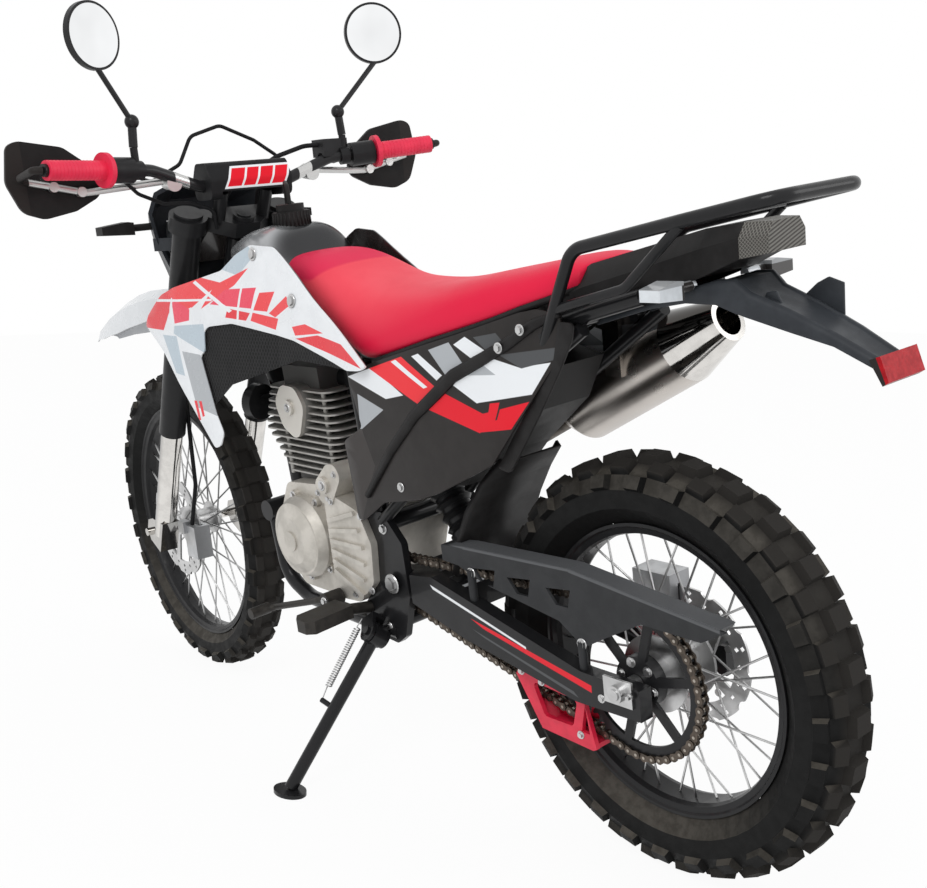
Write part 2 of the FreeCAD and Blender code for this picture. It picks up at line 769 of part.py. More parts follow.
def control_cables():
    """The clutch cable that arches over the bar pad, and the lead under the left grip."""
    x, perch = bar_centre_x, on_bar(1, grip_length + 71)
    clutch = [tuple(perch + vector(44, 0, -5)), (x + 44, 168, 1118), (x + 47, 105, 1146),
              (x + 47, 76, 1196), (x + 47, 12, 1213), (x + 47, -58, 1182), (x + 52, -128, 1136),
              (x + 78, -70, 1092), tuple(on_steering_axis(1040, 64, -66)),
              tuple(on_steering_axis(lower_clamp_station, 40, -64))]
    box = on_bar(1, grip_length + 34)
    lead = [tuple(box + vector(8, -6, -16)), (x + 27, 205, 1098), (x + 27, 156, 1076),
            (x + 12, 112, 1074), (x + 10, 66, 1058),
            tuple(on_steering_axis(top_clamp_station, -4, 58))]
    return Part.makeCompound([bent_tube(clutch, cable_radius, 24),
                              bent_tube(lead, cable_radius, 20)])


def brake_hose():
    """From the bottle on the right of the bar, down inside the left fork leg to the caliper."""
    x, perch = bar_centre_x, on_bar(-1, grip_length + 71)
    route = [tuple(perch + vector(18, 46, 24)), (x + 17, -152, 1164), (x + 22, -92, 1148),
             (x + 78, -14, 1098), tuple(on_steering_axis(1080, 74, 52)),
             tuple(on_steering_axis(1000, 57, 66)), tuple(on_steering_axis(740, 57, 66)),
             tuple(on_steering_axis(640, 20, 65)), tuple(on_steering_axis(540, -22, 65)),
             tuple(on_steering_axis(420, -23, 65))]
    return bent_tube(route, brake_hose_radius, 28)


def front_end():
    pieces = {
        "triple_clamps": triple_clamps(),
        "fork_tubes": fork_tubes(),
        "fork_stanchions": fork_stanchions(),
        "handlebar": handlebar(),
        "grips": grips(),
        "bar_pad": bar_pad(),
        "bar_controls": bar_controls(),
        "handguards": handguards(),
        "mirrors": mirrors(),
        "front_fender": front_fender(),
        "headlight_mask": headlight_mask(),
        "headlamp": headlamp(),
        "front_indicators": front_indicators(),
        "front_caliper": front_caliper(),
        "control_cables": control_cables(),
        "brake_hose": brake_hose(),
    }
    return settle(pieces, [
        ("bar_pad", ["triple_clamps", "handlebar"]),
        ("bar_controls", ["handlebar"]),
        ("handguards", ["handlebar", "bar_controls"]),
        ("mirrors", ["bar_controls"]),
        ("front_fender", ["triple_clamps", "fork_tubes"]),
        ("front_caliper", ["fork_stanchions"]),
        ("headlight_mask", ["fork_tubes"]),
        ("front_indicators", ["headlight_mask"]),
        ("control_cables", ["bar_controls", "triple_clamps"]),
        ("brake_hose", ["bar_controls", "front_caliper"]),
    ])


# Chassis


def frame():
    """Head tube, backbone, down tube and the cross tube in front of the engine."""
    head = rod(on_steering_axis(head_tube_low), on_steering_axis(head_tube_high), 29)
    backbone = bent_tube([tuple(on_steering_axis(1074, -11)), (890, 0, 905), (640, 0, 812)], 23,
                         120)
    down_tube = bent_tube([tuple(on_steering_axis(1035)), (985, 0, 690), (cradle_front_x, 0, 470)],
                          19, 120)
    cross = rod(vector(cradle_front_x, -91, 470), vector(cradle_front_x, 91, 470), 21)
    whole = join([head, backbone, down_tube, cross])
    return whole.cut(rod(on_steering_axis(head_tube_low - 5), on_steering_axis(head_tube_high + 5),
                         stem_radius + stem_clearance))


def cradle():
    """Lower tubes under the engine, the pivot plates and the stand's bracket."""
    pieces = []
    for side in (1, -1):
        lower = [(cradle_front_x, side * 72, 470), (cradle_front_x - 13, side * 72, 330),
                 (880, side * 72, 296), (560, side * 92, 300)]
        pieces.append(bent_tube(lower, 15, 70))
        plate = [(606, 520), (560, 532), (512, 480), (508, 380), (535, 300), (560, 282),
                 (640, 288), (654, 335), (604, 385), (612, 455)]
        pieces.append(prism(plate, "xz", min(side * 88, side * 102), max(side * 88, side * 102),
                            12))
    pieces.append(rod(vector(575, -95, 505), vector(575, 95, 505), 17))
    pieces.append(rod(vector(600, -100, 302), vector(600, 100, 302), 13))
    pieces.append(stand_bracket())
    return join(pieces).cut(disc_about_y(pivot_x, pivot_z, -150, 150, pivot_bolt_radius))


def subframe():
    """Rear uprights and the seat rails with their cross tubes."""
    pieces = []
    for side in (1, -1):
        upright = [(640, side * 34, 812), (634, side * 66, 800), (576, side * 88, 510)]
        pieces.append(bent_tube(upright, 15, 40))
        upper = [(660, side * 40, 815), (560, side * 84, 812), (330, side * 86, 820),
                 (-70, side * 80, 918)]
        pieces.append(bent_tube(upper, 12, 90))
        lower = [(566, side * 95, 512), (420, side * 95, 628), (40, side * 86, 872)]
        pieces.append(bent_tube(lower, 11, 90))
    pieces.append(rod(vector(640, -40, 812), vector(640, 40, 812), 15))
    pieces.append(rod(vector(shock_top_x, -74, shock_top_z), vector(shock_top_x, 74, shock_top_z),
                      11))
    pieces.append(rod(vector(40, -84, 886), vector(40, 84, 886), 10))
    return join(pieces)


def engine_cases():
    """Crankcase with the generator cover, the ribbed sprocket cover and the sprocket."""
    block = [(905, 405), (905, 480), (868, 545), (700, 560), (612, 540), (612, 470), (650, 360),
             (700, 330), (860, 335)]
    flank = [(905, 405), (905, 480), (868, 545), (715, 556), (700, 335), (860, 338)]
    pieces = [prism(block, "xz", -92, 58, 16), prism(flank, "xz", 50, 94, 24)]
    centre = (generator_x, generator_z)
    pieces.append(disc_about_y(*centre, 90, 112, generator_radius))
    pieces.append(taper(vector(centre[0], 112, centre[1]), vector(centre[0], 130, centre[1]),
                        generator_radius, generator_radius - 9))
    pieces.append(taper(vector(centre[0], 130, centre[1]), vector(centre[0], 142, centre[1]),
                        generator_radius - 14, generator_radius - 34))
    pieces.append(disc_about_y(*centre, 138, 145, 19))
    for index in range(7):
        turn = 0.3 + index * 2 * math.pi / 7
        pieces.append(disc_about_y(centre[0] + (generator_radius + 4) * math.cos(turn),
                                   centre[1] + (generator_radius + 4) * math.sin(turn), 88, 104, 9))
    cover = [(715, 556), (612, 528), (584, 470), (592, 395), (640, 350), (715, 345)]
    shell = prism(cover, "xz", 50, 116, 18)
    hollow = disc_about_y(countershaft_x, countershaft_z, chain_plane - 14, chain_plane + 14, 52)
    run_out = Part.makeBox(120, 28, 104, vector(countershaft_x - 120, chain_plane - 14,
                                                countershaft_z - 52))
    pieces.append(shell.cut(hollow).cut(run_out))
    for index in range(cover_ribs):
        share = index / (cover_ribs - 1)
        front = vector(706, 0, 402 + 96 * share)
        back = vector(604 + 34 * abs(share - 0.5), 0, 366 + 158 * share)
        across = (back - front).cross(vector(0, 1, 0)).normalize() * 4
        rib = [front - across, front + across, back + across, back - across]
        pieces.append(prism([(spot.x, spot.z) for spot in rib], "xz", 112, 122))
    pieces.append(disc_about_y(810, 440, -132, -90, 86))
    pieces.append(disc_about_y(countershaft_x, countershaft_z, 50, chain_plane + 3, 12))
    teeth = prism(toothed_outline(front_teeth, countershaft_x, countershaft_z), "xz",
                  chain_plane - 3, chain_plane + 3)
    pieces.append(teeth)
    pieces.append(disc_about_y(655, 588, -66, 72, 31))
    pieces.append(disc_about_y(655, 588, 72, 84, 20))
    gear_cover = [(648, 586), (664, 610), (690, 606), (736, 566), (726, 530), (690, 528)]
    pieces.append(prism(gear_cover, "xz", 56, 118, 22))
    pieces.append(disc_about_y(704, 566, 116, 124, 16))
    return join(pieces)


def engine_cylinder():
    """Finned barrel and head, leaning slightly forward on the crankcase."""
    pieces = []
    low, high = 545, 768
    core = []
    for z, shift in ((low, 0), (high, 10)):
        core.append([(748 + shift, -62, z), (866 + shift, -62, z), (866 + shift, 62, z),
                     (748 + shift, 62, z)])
    pieces.append(lofted(core))
    for index in range(fin_count):
        z = 562 + fin_pitch * index
        lift = (z - 562) / 85
        reach = 1 - abs(lift - 1) if lift < 1 else 1 - 0.55 * (lift - 1)
        back, front = 727 - 36 * reach, 892 + 50 * reach
        wide = 76 + 10 * reach
        outline = [(back, -wide), (front, -wide), (front, wide), (back, wide)]
        pieces.append(prism(outline, "xy", z, z + fin_thickness, 26))
    for x, y in ((738, 68), (880, 68), (738, -68), (880, -68)):
        pieces.append(rod(vector(x, y, 556), vector(x, y, 728), 5))
    cam_cover = [(768, 700), (792, 736), (836, 738), (866, 704), (848, 656), (800, 630)]
    pieces.append(prism(cam_cover, "xz", 55, 96, 26))
    pieces.append(disc_about_y(818, 696, 94, 101, 15))
    return join(pieces)


def intake():
    """Carburettor and rubber intake between the head and the air box."""
    pieces = [rod(vector(760, 0, 738), vector(640, 0, 742), 22)]
    pieces.append(Part.makeBox(56, 60, 94, vector(662, -30, 682)))
    pieces.append(rod(vector(660, 0, 744), vector(438, 0, 768), 24))
    return join(pieces)


def exhaust_pipe():
    """Header from the head's front port round the right side to the silencer."""
    path = [(870, -20, 700), (925, -40, 690), (935, -118, 610), (840, -148, 560),
            (600, -150, 560), (470, -158, 600), (300, silencer_y, 686)]
    return bent_tube(path, 21, 45)


def silencer_point(distance):
    """A point on the silencer's centre line, measured back from its front end."""
    return vector(330 - 0.893 * distance, silencer_y, 670 + 0.451 * distance)


def silencer():
    """Brushed steel can with a swaged front cone and a hanger to the seat rail."""
    pieces = [taper(silencer_point(0), silencer_point(40), 30, silencer_radius),
              rod(silencer_point(40), silencer_point(292), silencer_radius)]
    pieces.append(Part.makeBox(34, 10, 100, vector(150, -110, 758)))
    return join(pieces)


def silencer_tip():
    """Tapered chrome end cap with a deep round outlet."""
    cap = taper(silencer_point(292), silencer_point(385), silencer_radius, outlet_radius + 9)
    bore = rod(silencer_point(310), silencer_point(400), outlet_radius)
    return cap.cut(bore)


def fuel_tank():
    """Tank between the shrouds, low at the back where the seat climbs over it."""
    outline = [(1046, 982), (1040, 960), (700, 862), (640, 900), (716, 972), (806, 1012),
               (876, 1022), (957, 1010), (990, 1000), (1010, 982)]
    plan = [(1046, 38), (965, 56), (925, 96), (760, 104), (640, 95), (640, -95), (760, -104),
            (925, -96), (965, -56), (1046, -38)]
    wide = prism(outline, "xz", -104, 104).common(prism(plan, "xy", 800, 1100))
    taper_sides = prism([(-118, 860), (118, 860), (104, 985), (62, 1040), (-62, 1040),
                         (-104, 985)], "yz", 600, 1100)
    return wide.common(taper_sides)


def fuel_cap():
    """Ribbed filler cap with the looped breather hose standing on it."""
    cap = Part.makeCylinder(34, 26, vector(862, 0, 1019))
    knob = Part.makeCylinder(26, 14, vector(862, 0, 1044))
    hose = bent_tube([(862, 0, 1054), (862, 0, 1090), (905, -24, 1098), (922, -34, 1062),
                      (922, -34, 1008)], 4, 18)
    return join([cap, knob, hose])


def seat():
    """Long narrow seat that climbs onto the tank at the front."""
    stations = [
        (846, 964, 948, 40), (800, 973, 930, 62), (740, 972, 915, 74), (680, 966, 896, 84),
        (624, 946, 868, 92), (543, 925, 836, 104), (463, 918, 834, 112), (393, 923, 838, 116),
        (299, 935, 856, 116), (159, 953, 890, 108), (82, 966, 916, 96), (46, 958, 926, 80),
    ]
    outlines = []
    for x, top, bottom, half in stations:
        rise = top - bottom
        outlines.append([(x, half, bottom), (x, half * 0.93, bottom + rise * 0.62),
                         (x, half * 0.66, bottom + rise * 0.93), (x, half * 0.25, top),
                         (x, -half * 0.25, top), (x, -half * 0.66, bottom + rise * 0.93),
                         (x, -half * 0.93, bottom + rise * 0.62), (x, -half, bottom)])
    return lofted(outlines)


def left_shroud():
    """White cowl beside the tank that spreads round the fork and drops to a point."""
    outline = [(802, 1003), (886, 954), (1102, 915), (1217, 846), (1170, 778), (1116, 731),
               (1067, 669), (1028, 626), (975, 666), (1019, 678), (1030, 760), (1062, 800),
               (908, 864), (772, 850), (640, 836), (520, 802), (490, 806), (647, 946), (701, 996)]
    panel = sheet_panel(outline, cowl_plan, cowl_thickness, cowl_lean, 850, 16)
    posts = []
    for x, z in cowl_bolts:
        posts.append(rod(vector(x, 40, z), vector(x, 126, z), 9))
    return join([panel] + posts)


def shroud_inserts():
    """Dark side scoops below each cowl."""
    outline = [(1072, 814), (908, 880), (772, 866), (560, 826), (548, 790), (700, 800), (903, 746),
               (1010, 668), (1034, 700), (1036, 756)]
    plan = [(x, y - cowl_thickness - 0.2) for x, y in cowl_plan]
    return both_sides(sheet_panel(outline, plan, cowl_thickness, cowl_lean, 850))


def left_side_panel():
    """Number panel below the seat with its raised strut."""
    outline = [(556, 768), (535, 693), (600, 665), (568, 525), (520, 562), (383, 586), (355, 599),
               (244, 653), (120, 770), (60, 812), (52, 872), (180, 858), (380, 826), (530, 790)]
    plan = [(20, 112), (200, 126), (400, 130), (620, 126)]
    panel = sheet_panel(outline, plan, 4, 0.04, 700, 12)
    posts = [rod(vector(300, 96, 705), vector(300, 126, 705), 8),
             rod(vector(530, 92, 560), vector(530, 128, 560), 8)]
    return join([panel] + posts)


def tail_fairing():
    """Tapering cowl behind the seat, over the rear wheel."""
    stations = [(96, 930, 880, 90), (40, 958, 884, 84), (-60, 980, 912, 72), (-150, 1000, 940, 58),
                (-205, 1006, 962, 48)]
    outlines = []
    hollows = []
    for x, top, bottom, half in stations:
        outlines.append([(x, half, bottom), (x, half, bottom + 0.6 * (top - bottom)),
                         (x, half * 0.7, top), (x, -half * 0.7, top),
                         (x, -half, bottom + 0.6 * (top - bottom)), (x, -half, bottom)])
        top, half, bottom = top - 4, half - 4, bottom - 3
        hollows.append([(x, half, bottom), (x, half, bottom + 0.6 * (top - bottom)),
                        (x, half * 0.7, top), (x, -half * 0.7, top),
                        (x, -half, bottom + 0.6 * (top - bottom)), (x, -half, bottom)])
    hollows[0] = [(x + 1, y, z) for x, y, z in hollows[0]]
    return lofted(outlines).cut(lofted(hollows[:-1]))


def tail_lamp():
    """Wedge lamp that closes the end of the tail."""
    near = [(x, y, z) for x, y, z in ((-205.3, 48, 962), (-205.3, 48, 988), (-205.3, 34, 1006),
                                      (-205.3, -34, 1006), (-205.3, -48, 988), (-205.3, -48, 962))]
    far = [(-244, y * 0.8, 962 + (z - 962) * 0.86 + 6) for _, y, z in near]
    return lofted([near, far])


def rear_fender():
    """Undertray and number-plate tongue that reach back beyond the tyre."""
    outline = [(60, 880), (-60, 912), (-140, 930), (-235, 896), (-388, 834), (-396, 820.5),
               (-230, 880), (-150, 908), (-60, 896), (52, 866)]
    tray = prism(outline, "xz", -62, 62)
    plan = [(60, -62), (60, 62), (-130, 62), (-236, 40), (-397, 30), (-397, -30), (-236, -40),
            (-130, -62)]
    tray = tray.common(prism(plan, "xy", 700, 1000))
    bracket = prism([(-262, 872), (-300, 925), (-330, 918), (-312, 856)], "xz", -34, 34)
    return join([tray, bracket])


def reflector():
    """Red reflector hung on the end of the tongue."""
    return prism([(-381, 843), (-396.5, 848.5), (-407.5, 817.5), (-399, 812.5)], "xz", -40, 40)


def rear_indicators():
    """Short lamps close beside the tail, clear of what leaves the silencer."""
    return both_sides(indicator(-134, 92, 930, 1, 47, 38))


def rear_rack():
    """Luggage rack: two looped side rails, lower braces and a cross tie at the back."""
    pieces = []
    for side in (1, -1):
        rail = [(100, side * 104, 852), (66, side * 112, 905), (24, side * 112, 984),
                (-160, side * 106, 1016), (-296, side * 92, 1039), (-296, 0, 1039)]
        pieces.append(bent_tube(rail, 9, 40))
        brace = [(68, side * 111, 902), (-62, side * 106, 932), (-162, side * 105, 1012)]
        pieces.append(bent_tube(brace, 7, 40))
        pieces.append(rod(vector(100, side * 112, 858), vector(100, side * 84, 858), 9))
    pieces.append(rod(vector(-170, -104, 1018), vector(-170, 104, 1018), 7))
    return join(pieces)


def swingarm():
    """Two box arms, the pivot tube and the cross member ahead of the tyre."""
    axle_z = rear_tyre_radius
    side_view = [(566, 422), (425, 438), (80, axle_z + 12), (-38, axle_z + 10),
                 (-38, axle_z - 40), (97, axle_z - 42), (355, 343), (520, 388), (566, 384)]
    plan = [(566, 60), (566, 84), (505, 86), (486, arm_outer_y), (-38, arm_outer_y),
            (-38, arm_inner_y), (430, arm_inner_y), (470, 60)]
    arm = prism(side_view, "xz", 0, 200).common(prism(plan, "xy", 200, 500))
    pieces = [arm, mirrored(arm)]
    pieces.append(disc_about_y(pivot_x, pivot_z, -86, 86, 19))
    pieces.append(disc_about_y(pivot_x, pivot_z, -110, 110, pivot_bolt_radius))
    pieces.append(prism([(468, 390), (468, 424), (398, 424), (398, 364)], "xz", -arm_inner_y,
                        arm_inner_y))
    pieces.append(prism([(462, 392), (430, 470), (410, 470), (420, 392)], "xz", -22, 22))
    whole = join(pieces)
    return whole.cut(disc_about_y(0, rear_tyre_radius, -200, 200, axle_radius))


def rear_axle():
    """Axle with its nuts and the two silver chain adjusters."""
    pieces = [disc_about_y(0, rear_tyre_radius, -arm_outer_y - 16, arm_outer_y + 16, axle_radius)]
    for side in (1, -1):
        near, far = side * arm_outer_y, side * (arm_outer_y + 4)
        pieces.append(Part.makeBox(56, 4, 42, vector(-26, min(near, far), rear_tyre_radius - 21)))
        near, far = side * (arm_outer_y + 4), side * (arm_outer_y + 14)
        pieces.append(disc_about_y(0, rear_tyre_radius, min(near, far), max(near, far), 14))
        hub_face = chain_plane + 3 if side > 0 else -60
        near, far = sorted((side * arm_inner_y, hub_face + side))
        pieces.append(disc_about_y(0, rear_tyre_radius, near, far, 14))
    return join(pieces)


def chain_guard():
    """Moulded guard over the upper chain run with three windows."""
    outline = [(402, 497), (346, 503), (100, 510), (-194, 473), (-150, 449), (-41, 452), (30, 415),
               (81, 387), (130, 420), (298, 447), (363, 468), (402, 470)]
    plate = prism(outline, "xz", 96, 101)
    cap = prism([(402, 492), (346, 498), (100, 505), (-180, 470), (-184, 476), (100, 511),
                 (346, 504), (402, 498)], "xz", chain_guard_inner_y, 100)
    windows = []
    for x in (300, 218, 130):
        windows.append(prism([(x + 24, 470), (x - 30, 476), (x - 22, 446), (x + 4, 446)], "xz", 90,
                             110))
    pieces = [plate.cut(Part.makeCompound(windows)), cap]
    for x, high, low in ((330, 466, 408), (84, 396, 346)):
        pieces.append(rod(vector(x, 101, high), vector(x, 101, low), 7))
    return join(pieces)


def chain_guide():
    """Red guide block that hangs under the left arm round the lower chain run."""
    outline = [(250, 300), (236, 322), (100, 300), (78, 213), (86, 209), (199, 216)]
    window = prism([(112, 288), (126, 240), (190, 240), (214, 296)], "xz", 50, 100, 8)
    slot = prism([(96, 284), (90, 236), (108, 236)], "xz", 50, 100)
    plates = [prism(outline, "xz", 88, 96), prism(outline, "xz", 52, 57)]
    base = prism([(82, 211), (86, 209), (199, 216), (224, 258), (212, 256), (188, 230), (82, 219)],
                 "xz", 52, 96)
    return join([plate.cut(window).cut(slot) for plate in plates] + [base])


def chain_loop():
    """The closed path of the chain's centre line round both sprockets."""
    big = pitch_radius(rear_teeth)
    small = pitch_radius(front_teeth)
    span_x = countershaft_x
    span_z = countershaft_z - rear_tyre_radius
    span = math.hypot(span_x, span_z)
    slope = math.atan2(span_z, span_x)
    wrap = math.acos((big - small) / span)
    return big, small, slope, wrap


def chain_path(offset, by_link):
    """Corners beside the chain's centre line at an offset that may change from one to the
    next. The straight runs have only their ends unless they are drawn link by link."""
    big, small, slope, wrap = chain_loop()
    span = math.hypot(countershaft_x, countershaft_z - rear_tyre_radius) * math.sin(wrap)
    arc_steps = (round(big * 2 * (math.pi - wrap) / chain_pitch),
                 round(small * 2 * wrap / chain_pitch) + 2)
    run_steps = round(span / chain_pitch) if by_link else 1
    doubled = 2 if by_link else 1
    stations = []
    for centre, pitch, first, sweep, steps in (
            ((0, rear_tyre_radius), big, slope + wrap, 2 * (math.pi - wrap), arc_steps[0]),
            ((countershaft_x, countershaft_z), small, slope - wrap, 2 * wrap, arc_steps[1])):
        for index in range(steps * doubled):
            turn = first + sweep * index / (steps * doubled)
            stations.append((centre, pitch, turn, 0.0))
        end = first + sweep
        for index in range(run_steps * doubled):
            stations.append((centre, pitch, end, span * index / (run_steps * doubled)))
    corners = []
    for index, (centre, pitch, turn, along) in enumerate(stations):
        reach = pitch + offset(index)
        corners.append((centre[0] + reach * math.cos(turn) - along * math.sin(turn),
                        centre[1] + reach * math.sin(turn) + along * math.cos(turn)))
    return corners


def drive_chain():
    """The chain as one closed loop: two rows of waisted plates under a common back, with a
    groove between them that the sprocket's teeth run in."""
    low, high = chain_plane - chain_width / 2, chain_plane + chain_width / 2

    def waisted(index):
        return chain_height / 2 - (chain_waist if index % 2 else 0)

    outer = prism(chain_path(waisted, True), "xz", low, high)
    inside = prism(chain_path(lambda index: -chain_height / 2, False), "xz", low, high)
    groove = prism(chain_path(lambda index: chain_groove_top, False), "xz",
                   chain_plane - chain_groove / 2, chain_plane + chain_groove / 2)
    return outer.cut(inside).cut(groove)


def rear_shock():
    """Single damper with its coil spring between the arm and the subframe."""
    low, high = vector(shock_foot_x, 0, shock_foot_z), vector(shock_top_x, 0, shock_top_z)
    run = high - low
    along = vector(run.x, run.y, run.z).normalize()
    pieces = [rod(low, high, 14), rod(low + run * 0.66, low + run * 0.9, 26),
              rod(low + run * 0.12, low + run * 0.16, 34)]
    for index in range(spring_coils):
        at = low + run * (0.17 + 0.5 * index / spring_coils)
        pieces.append(taper(at, at + along * spring_wire, 29, 35))
        pieces.append(taper(at + along * spring_wire, at + along * 2 * spring_wire, 35, 29))
    pieces.append(rod(low + run * 0.16, low + run * 0.68, 28))
    return join(pieces)


def inner_fender():
    """Curved guard between the air box and the rear tyre, struck about the rear axle."""
    inner = []
    outer = []
    for degrees in (14, 23, 32, 41, 50, 59):
        turn = math.radians(degrees)
        for line, reach in ((inner, fender_gap), (outer, fender_gap + fender_skin)):
            radius = rear_tyre_radius + reach
            line.append((radius * math.cos(turn), rear_tyre_radius + radius * math.sin(turn)))
    inner += [(92, 812), (66, 846)]
    outer += [(100, 820), (74, 852)]
    band = prism(inner + outer[::-1], "xz", -84, 84)
    lower = Part.makeBox(200, 100, 150, vector(300, 50, 380))
    return band.cut(Part.makeCompound([lower, mirrored(lower)]))


def air_box():
    """Air box under the seat, behind the damper."""
    outline = [(440, 800), (250, 820), (160, 800), (200, 730), (300, 650), (350, 600), (430, 600)]
    return prism(outline, "xz", -76, 76)


def foot_controls():
    """Both footpegs on their brackets, the shift lever and the rear brake pedal."""
    pieces = []
    for side in (1, -1):
        peg = prism([(608, side * 158), (600, side * 246), (614, side * 258), (640, side * 258),
                     (656, side * 246), (662, side * 158)], "xy", 340, 364)
        arm = rod(vector(634, side * 95, 336), vector(634, side * 164, 350), 11)
        pieces.append(join([peg, arm]))
    lever = bent_tube([(700, 116, 352), (700, 146, 352), (730, 152, 346), (880, 160, 304),
                       (892, 206, 302)], 6.5, 16)
    boss = disc_about_y(700, 352, 120, 158, 15)
    toe = rod(vector(891, 166, 303), vector(892, 208, 302), 11)
    pieces.append(join([lever, boss, toe]))
    pedal = bent_tube([(620, -101, 330), (620, -150, 330), (760, -160, 300), (850, -165, 300),
                       (850, -200, 300)], 6.5, 16)
    pieces.append(join([pedal, rod(vector(850, -160, 300), vector(850, -206, 300), 11)]))
    return Part.makeCompound([solid for piece in pieces for solid in piece.Solids])


def rear_caliper():
    """Rear caliper on its bracket above the right arm, gripping the disc."""
    body = Part.makeBox(76, 46, 48, vector(20, rear_disc_plane - 24, 424))
    slot = disc_about_y(0, rear_tyre_radius, rear_disc_plane - 4, rear_disc_plane + 4,
                        rear_disc_radius + 6)
    bracket = prism([(28, 318), (60, 318), (90, 430), (40, 430)], "xz", -arm_inner_y,
                    rear_disc_plane - 10)
    return join([body, bracket]).cut(slot)


def horn():
    """Disc horn on a strap in front of the engine."""
    body = rod(vector(1000, 42, 680), vector(1022, 46, 682), 36)
    strap = Part.makeBox(16, 44, 6, vector(990, 4, 690))
    return join([body, strap])


def right_side_panel():
    """The mirror of the left panel, cut away round the silencer."""
    hollow = rod(silencer_point(-60), silencer_point(420), silencer_radius + 8)
    pipe = rod(vector(640, -150, 560), vector(300, -150, 640), 34)
    panel = mirrored(left_side_panel()).cut(Part.makeCompound([hollow, pipe]))
    return max(panel.Solids, key=lambda solid: solid.Volume)


def chassis():
    left = left_shroud()
    pieces = {
        "frame": frame(),
        "cradle": cradle(),
        "subframe": subframe(),
        "engine_cases": engine_cases(),
        "engine_cylinder": engine_cylinder(),
        "intake": intake(),
        "exhaust_pipe": exhaust_pipe(),
        "silencer": silencer(),
        "silencer_tip": silencer_tip(),
        "fuel_tank": fuel_tank(),
        "fuel_cap": fuel_cap(),
        "seat": seat(),
        "left_shroud": left,
        "right_shroud": mirrored(left),
        "shroud_inserts": shroud_inserts(),
        "left_side_panel": left_side_panel(),
        "right_side_panel": right_side_panel(),
        "tail_fairing": tail_fairing(),
        "tail_lamp": tail_lamp(),
        "rear_fender": rear_fender(),
        "reflector": reflector(),
        "rear_indicators": rear_indicators(),
        "rear_rack": rear_rack(),
        "swingarm": swingarm(),
        "rear_axle": rear_axle(),
        "chain_guard": chain_guard(),
        "chain_guide": chain_guide(),
        "drive_chain": drive_chain(),
        "rear_shock": rear_shock(),
        "inner_fender": inner_fender(),
        "air_box": air_box(),
        "foot_controls": foot_controls(),
        "rear_caliper": rear_caliper(),
        "horn": horn(),
    }
    tubes = ["frame", "cradle", "subframe"]
    return settle(pieces, [
        ("cradle", ["frame"]),
        ("subframe", ["frame", "cradle"]),
        ("engine_cases", tubes),
        ("engine_cylinder", ["engine_cases"] + tubes),
        ("intake", ["engine_cylinder"] + tubes),
        ("silencer", tubes),
        ("exhaust_pipe", ["engine_cylinder", "silencer", "engine_cases"] + tubes),
        ("fuel_tank", ["seat"] + tubes),
        ("fuel_cap", ["fuel_tank"]),
        ("left_shroud", ["fuel_tank", "seat"]),
        ("right_shroud", ["fuel_tank", "seat"]),
        ("rear_rack", tubes),
        ("left_side_panel", ["rear_rack"] + tubes),
        ("right_side_panel", ["rear_rack"] + tubes),
        ("tail_fairing", ["seat", "rear_rack"] + tubes),
        ("rear_fender", ["tail_fairing"] + tubes),
        ("rear_indicators", ["rear_fender", "tail_fairing", "rear_rack"]),
        ("reflector", ["rear_fender"]),
        ("rear_shock", ["swingarm"] + tubes),
        ("chain_guide", ["swingarm"]),
        ("chain_guard", ["swingarm"]),
        ("air_box", ["intake", "rear_shock"] + tubes),
        ("inner_fender", ["air_box", "left_side_panel", "right_side_panel"] + tubes),
        ("foot_controls", ["engine_cases"] + tubes),
        ("rear_caliper", ["swingarm"]),
        ("horn", tubes),
    ])


# Side stand


def stand_frame():
    """Hinge point, the direction of the leg and the turning axis, in the upright axes."""
    lean = math.radians(lean_angle)
    foot_y = stand_foot_y * math.cos(lean) - (foot_thickness - lift_of_lean()) * math.sin(lean)
    foot_z = stand_foot_y * math.sin(lean) + (foot_thickness - lift_of_lean()) * math.cos(lean)
    hinge = vector(stand_pivot_x, stand_pivot_y, stand_pivot_z)
    foot = vector(stand_foot_x, foot_y, foot_z)
    down = (foot - hinge).normalize()
    axis = down.cross(stand_folded()).normalize()
    return hinge, foot, axis


def stand_folded():
    """The direction of the leg when it is folded up."""
    return vector(-0.98, 0.13, 0.13).normalize()


def side_stand():
    """Leg with a flat foot that lies on the ground when the machine leans on it."""
    hinge, foot, axis = stand_frame()
    down = (foot - hinge).normalize()
    leg = rod(hinge + down * 15, foot - down * 3, stand_leg_radius)
    knuckle = rod(hinge - axis * 12, hinge + axis * 12, 21)
    lug_at, lug_end = spring_lug()
    lug = rod(lug_at, lug_end, 5)
    lean = math.radians(lean_angle)
    rim_edge = Part.Ellipse(vector(0, 0, 0), foot_length / 2, foot_width / 2).toShape()
    pad = Part.Face(Part.Wire(rim_edge)).extrude(vector(0, 0, foot_thickness))
    pad.rotate(vector(0, 0, 0), vector(1, 0, 0), lean_angle)
    up = vector(0, -math.sin(lean), math.cos(lean))
    pad.translate(foot - up * foot_thickness)
    whole = join([leg, knuckle, lug, pad])
    return whole.cut(rod(hinge - axis * 30, hinge + axis * 30,
                         stand_bolt_radius + axle_clearance))


def block_in(origin, along, across, upward, low, high):
    """A box given in a slanted set of axes, by its low and high corners."""
    box = Part.makeBox(high[0] - low[0], high[1] - low[1], high[2] - low[2], vector(*low))
    matrix = FreeCAD.Matrix(along.x, across.x, upward.x, origin.x,
                            along.y, across.y, upward.y, origin.y,
                            along.z, across.z, upward.z, origin.z,
                            0, 0, 0, 1)
    return box.transformGeometry(matrix)


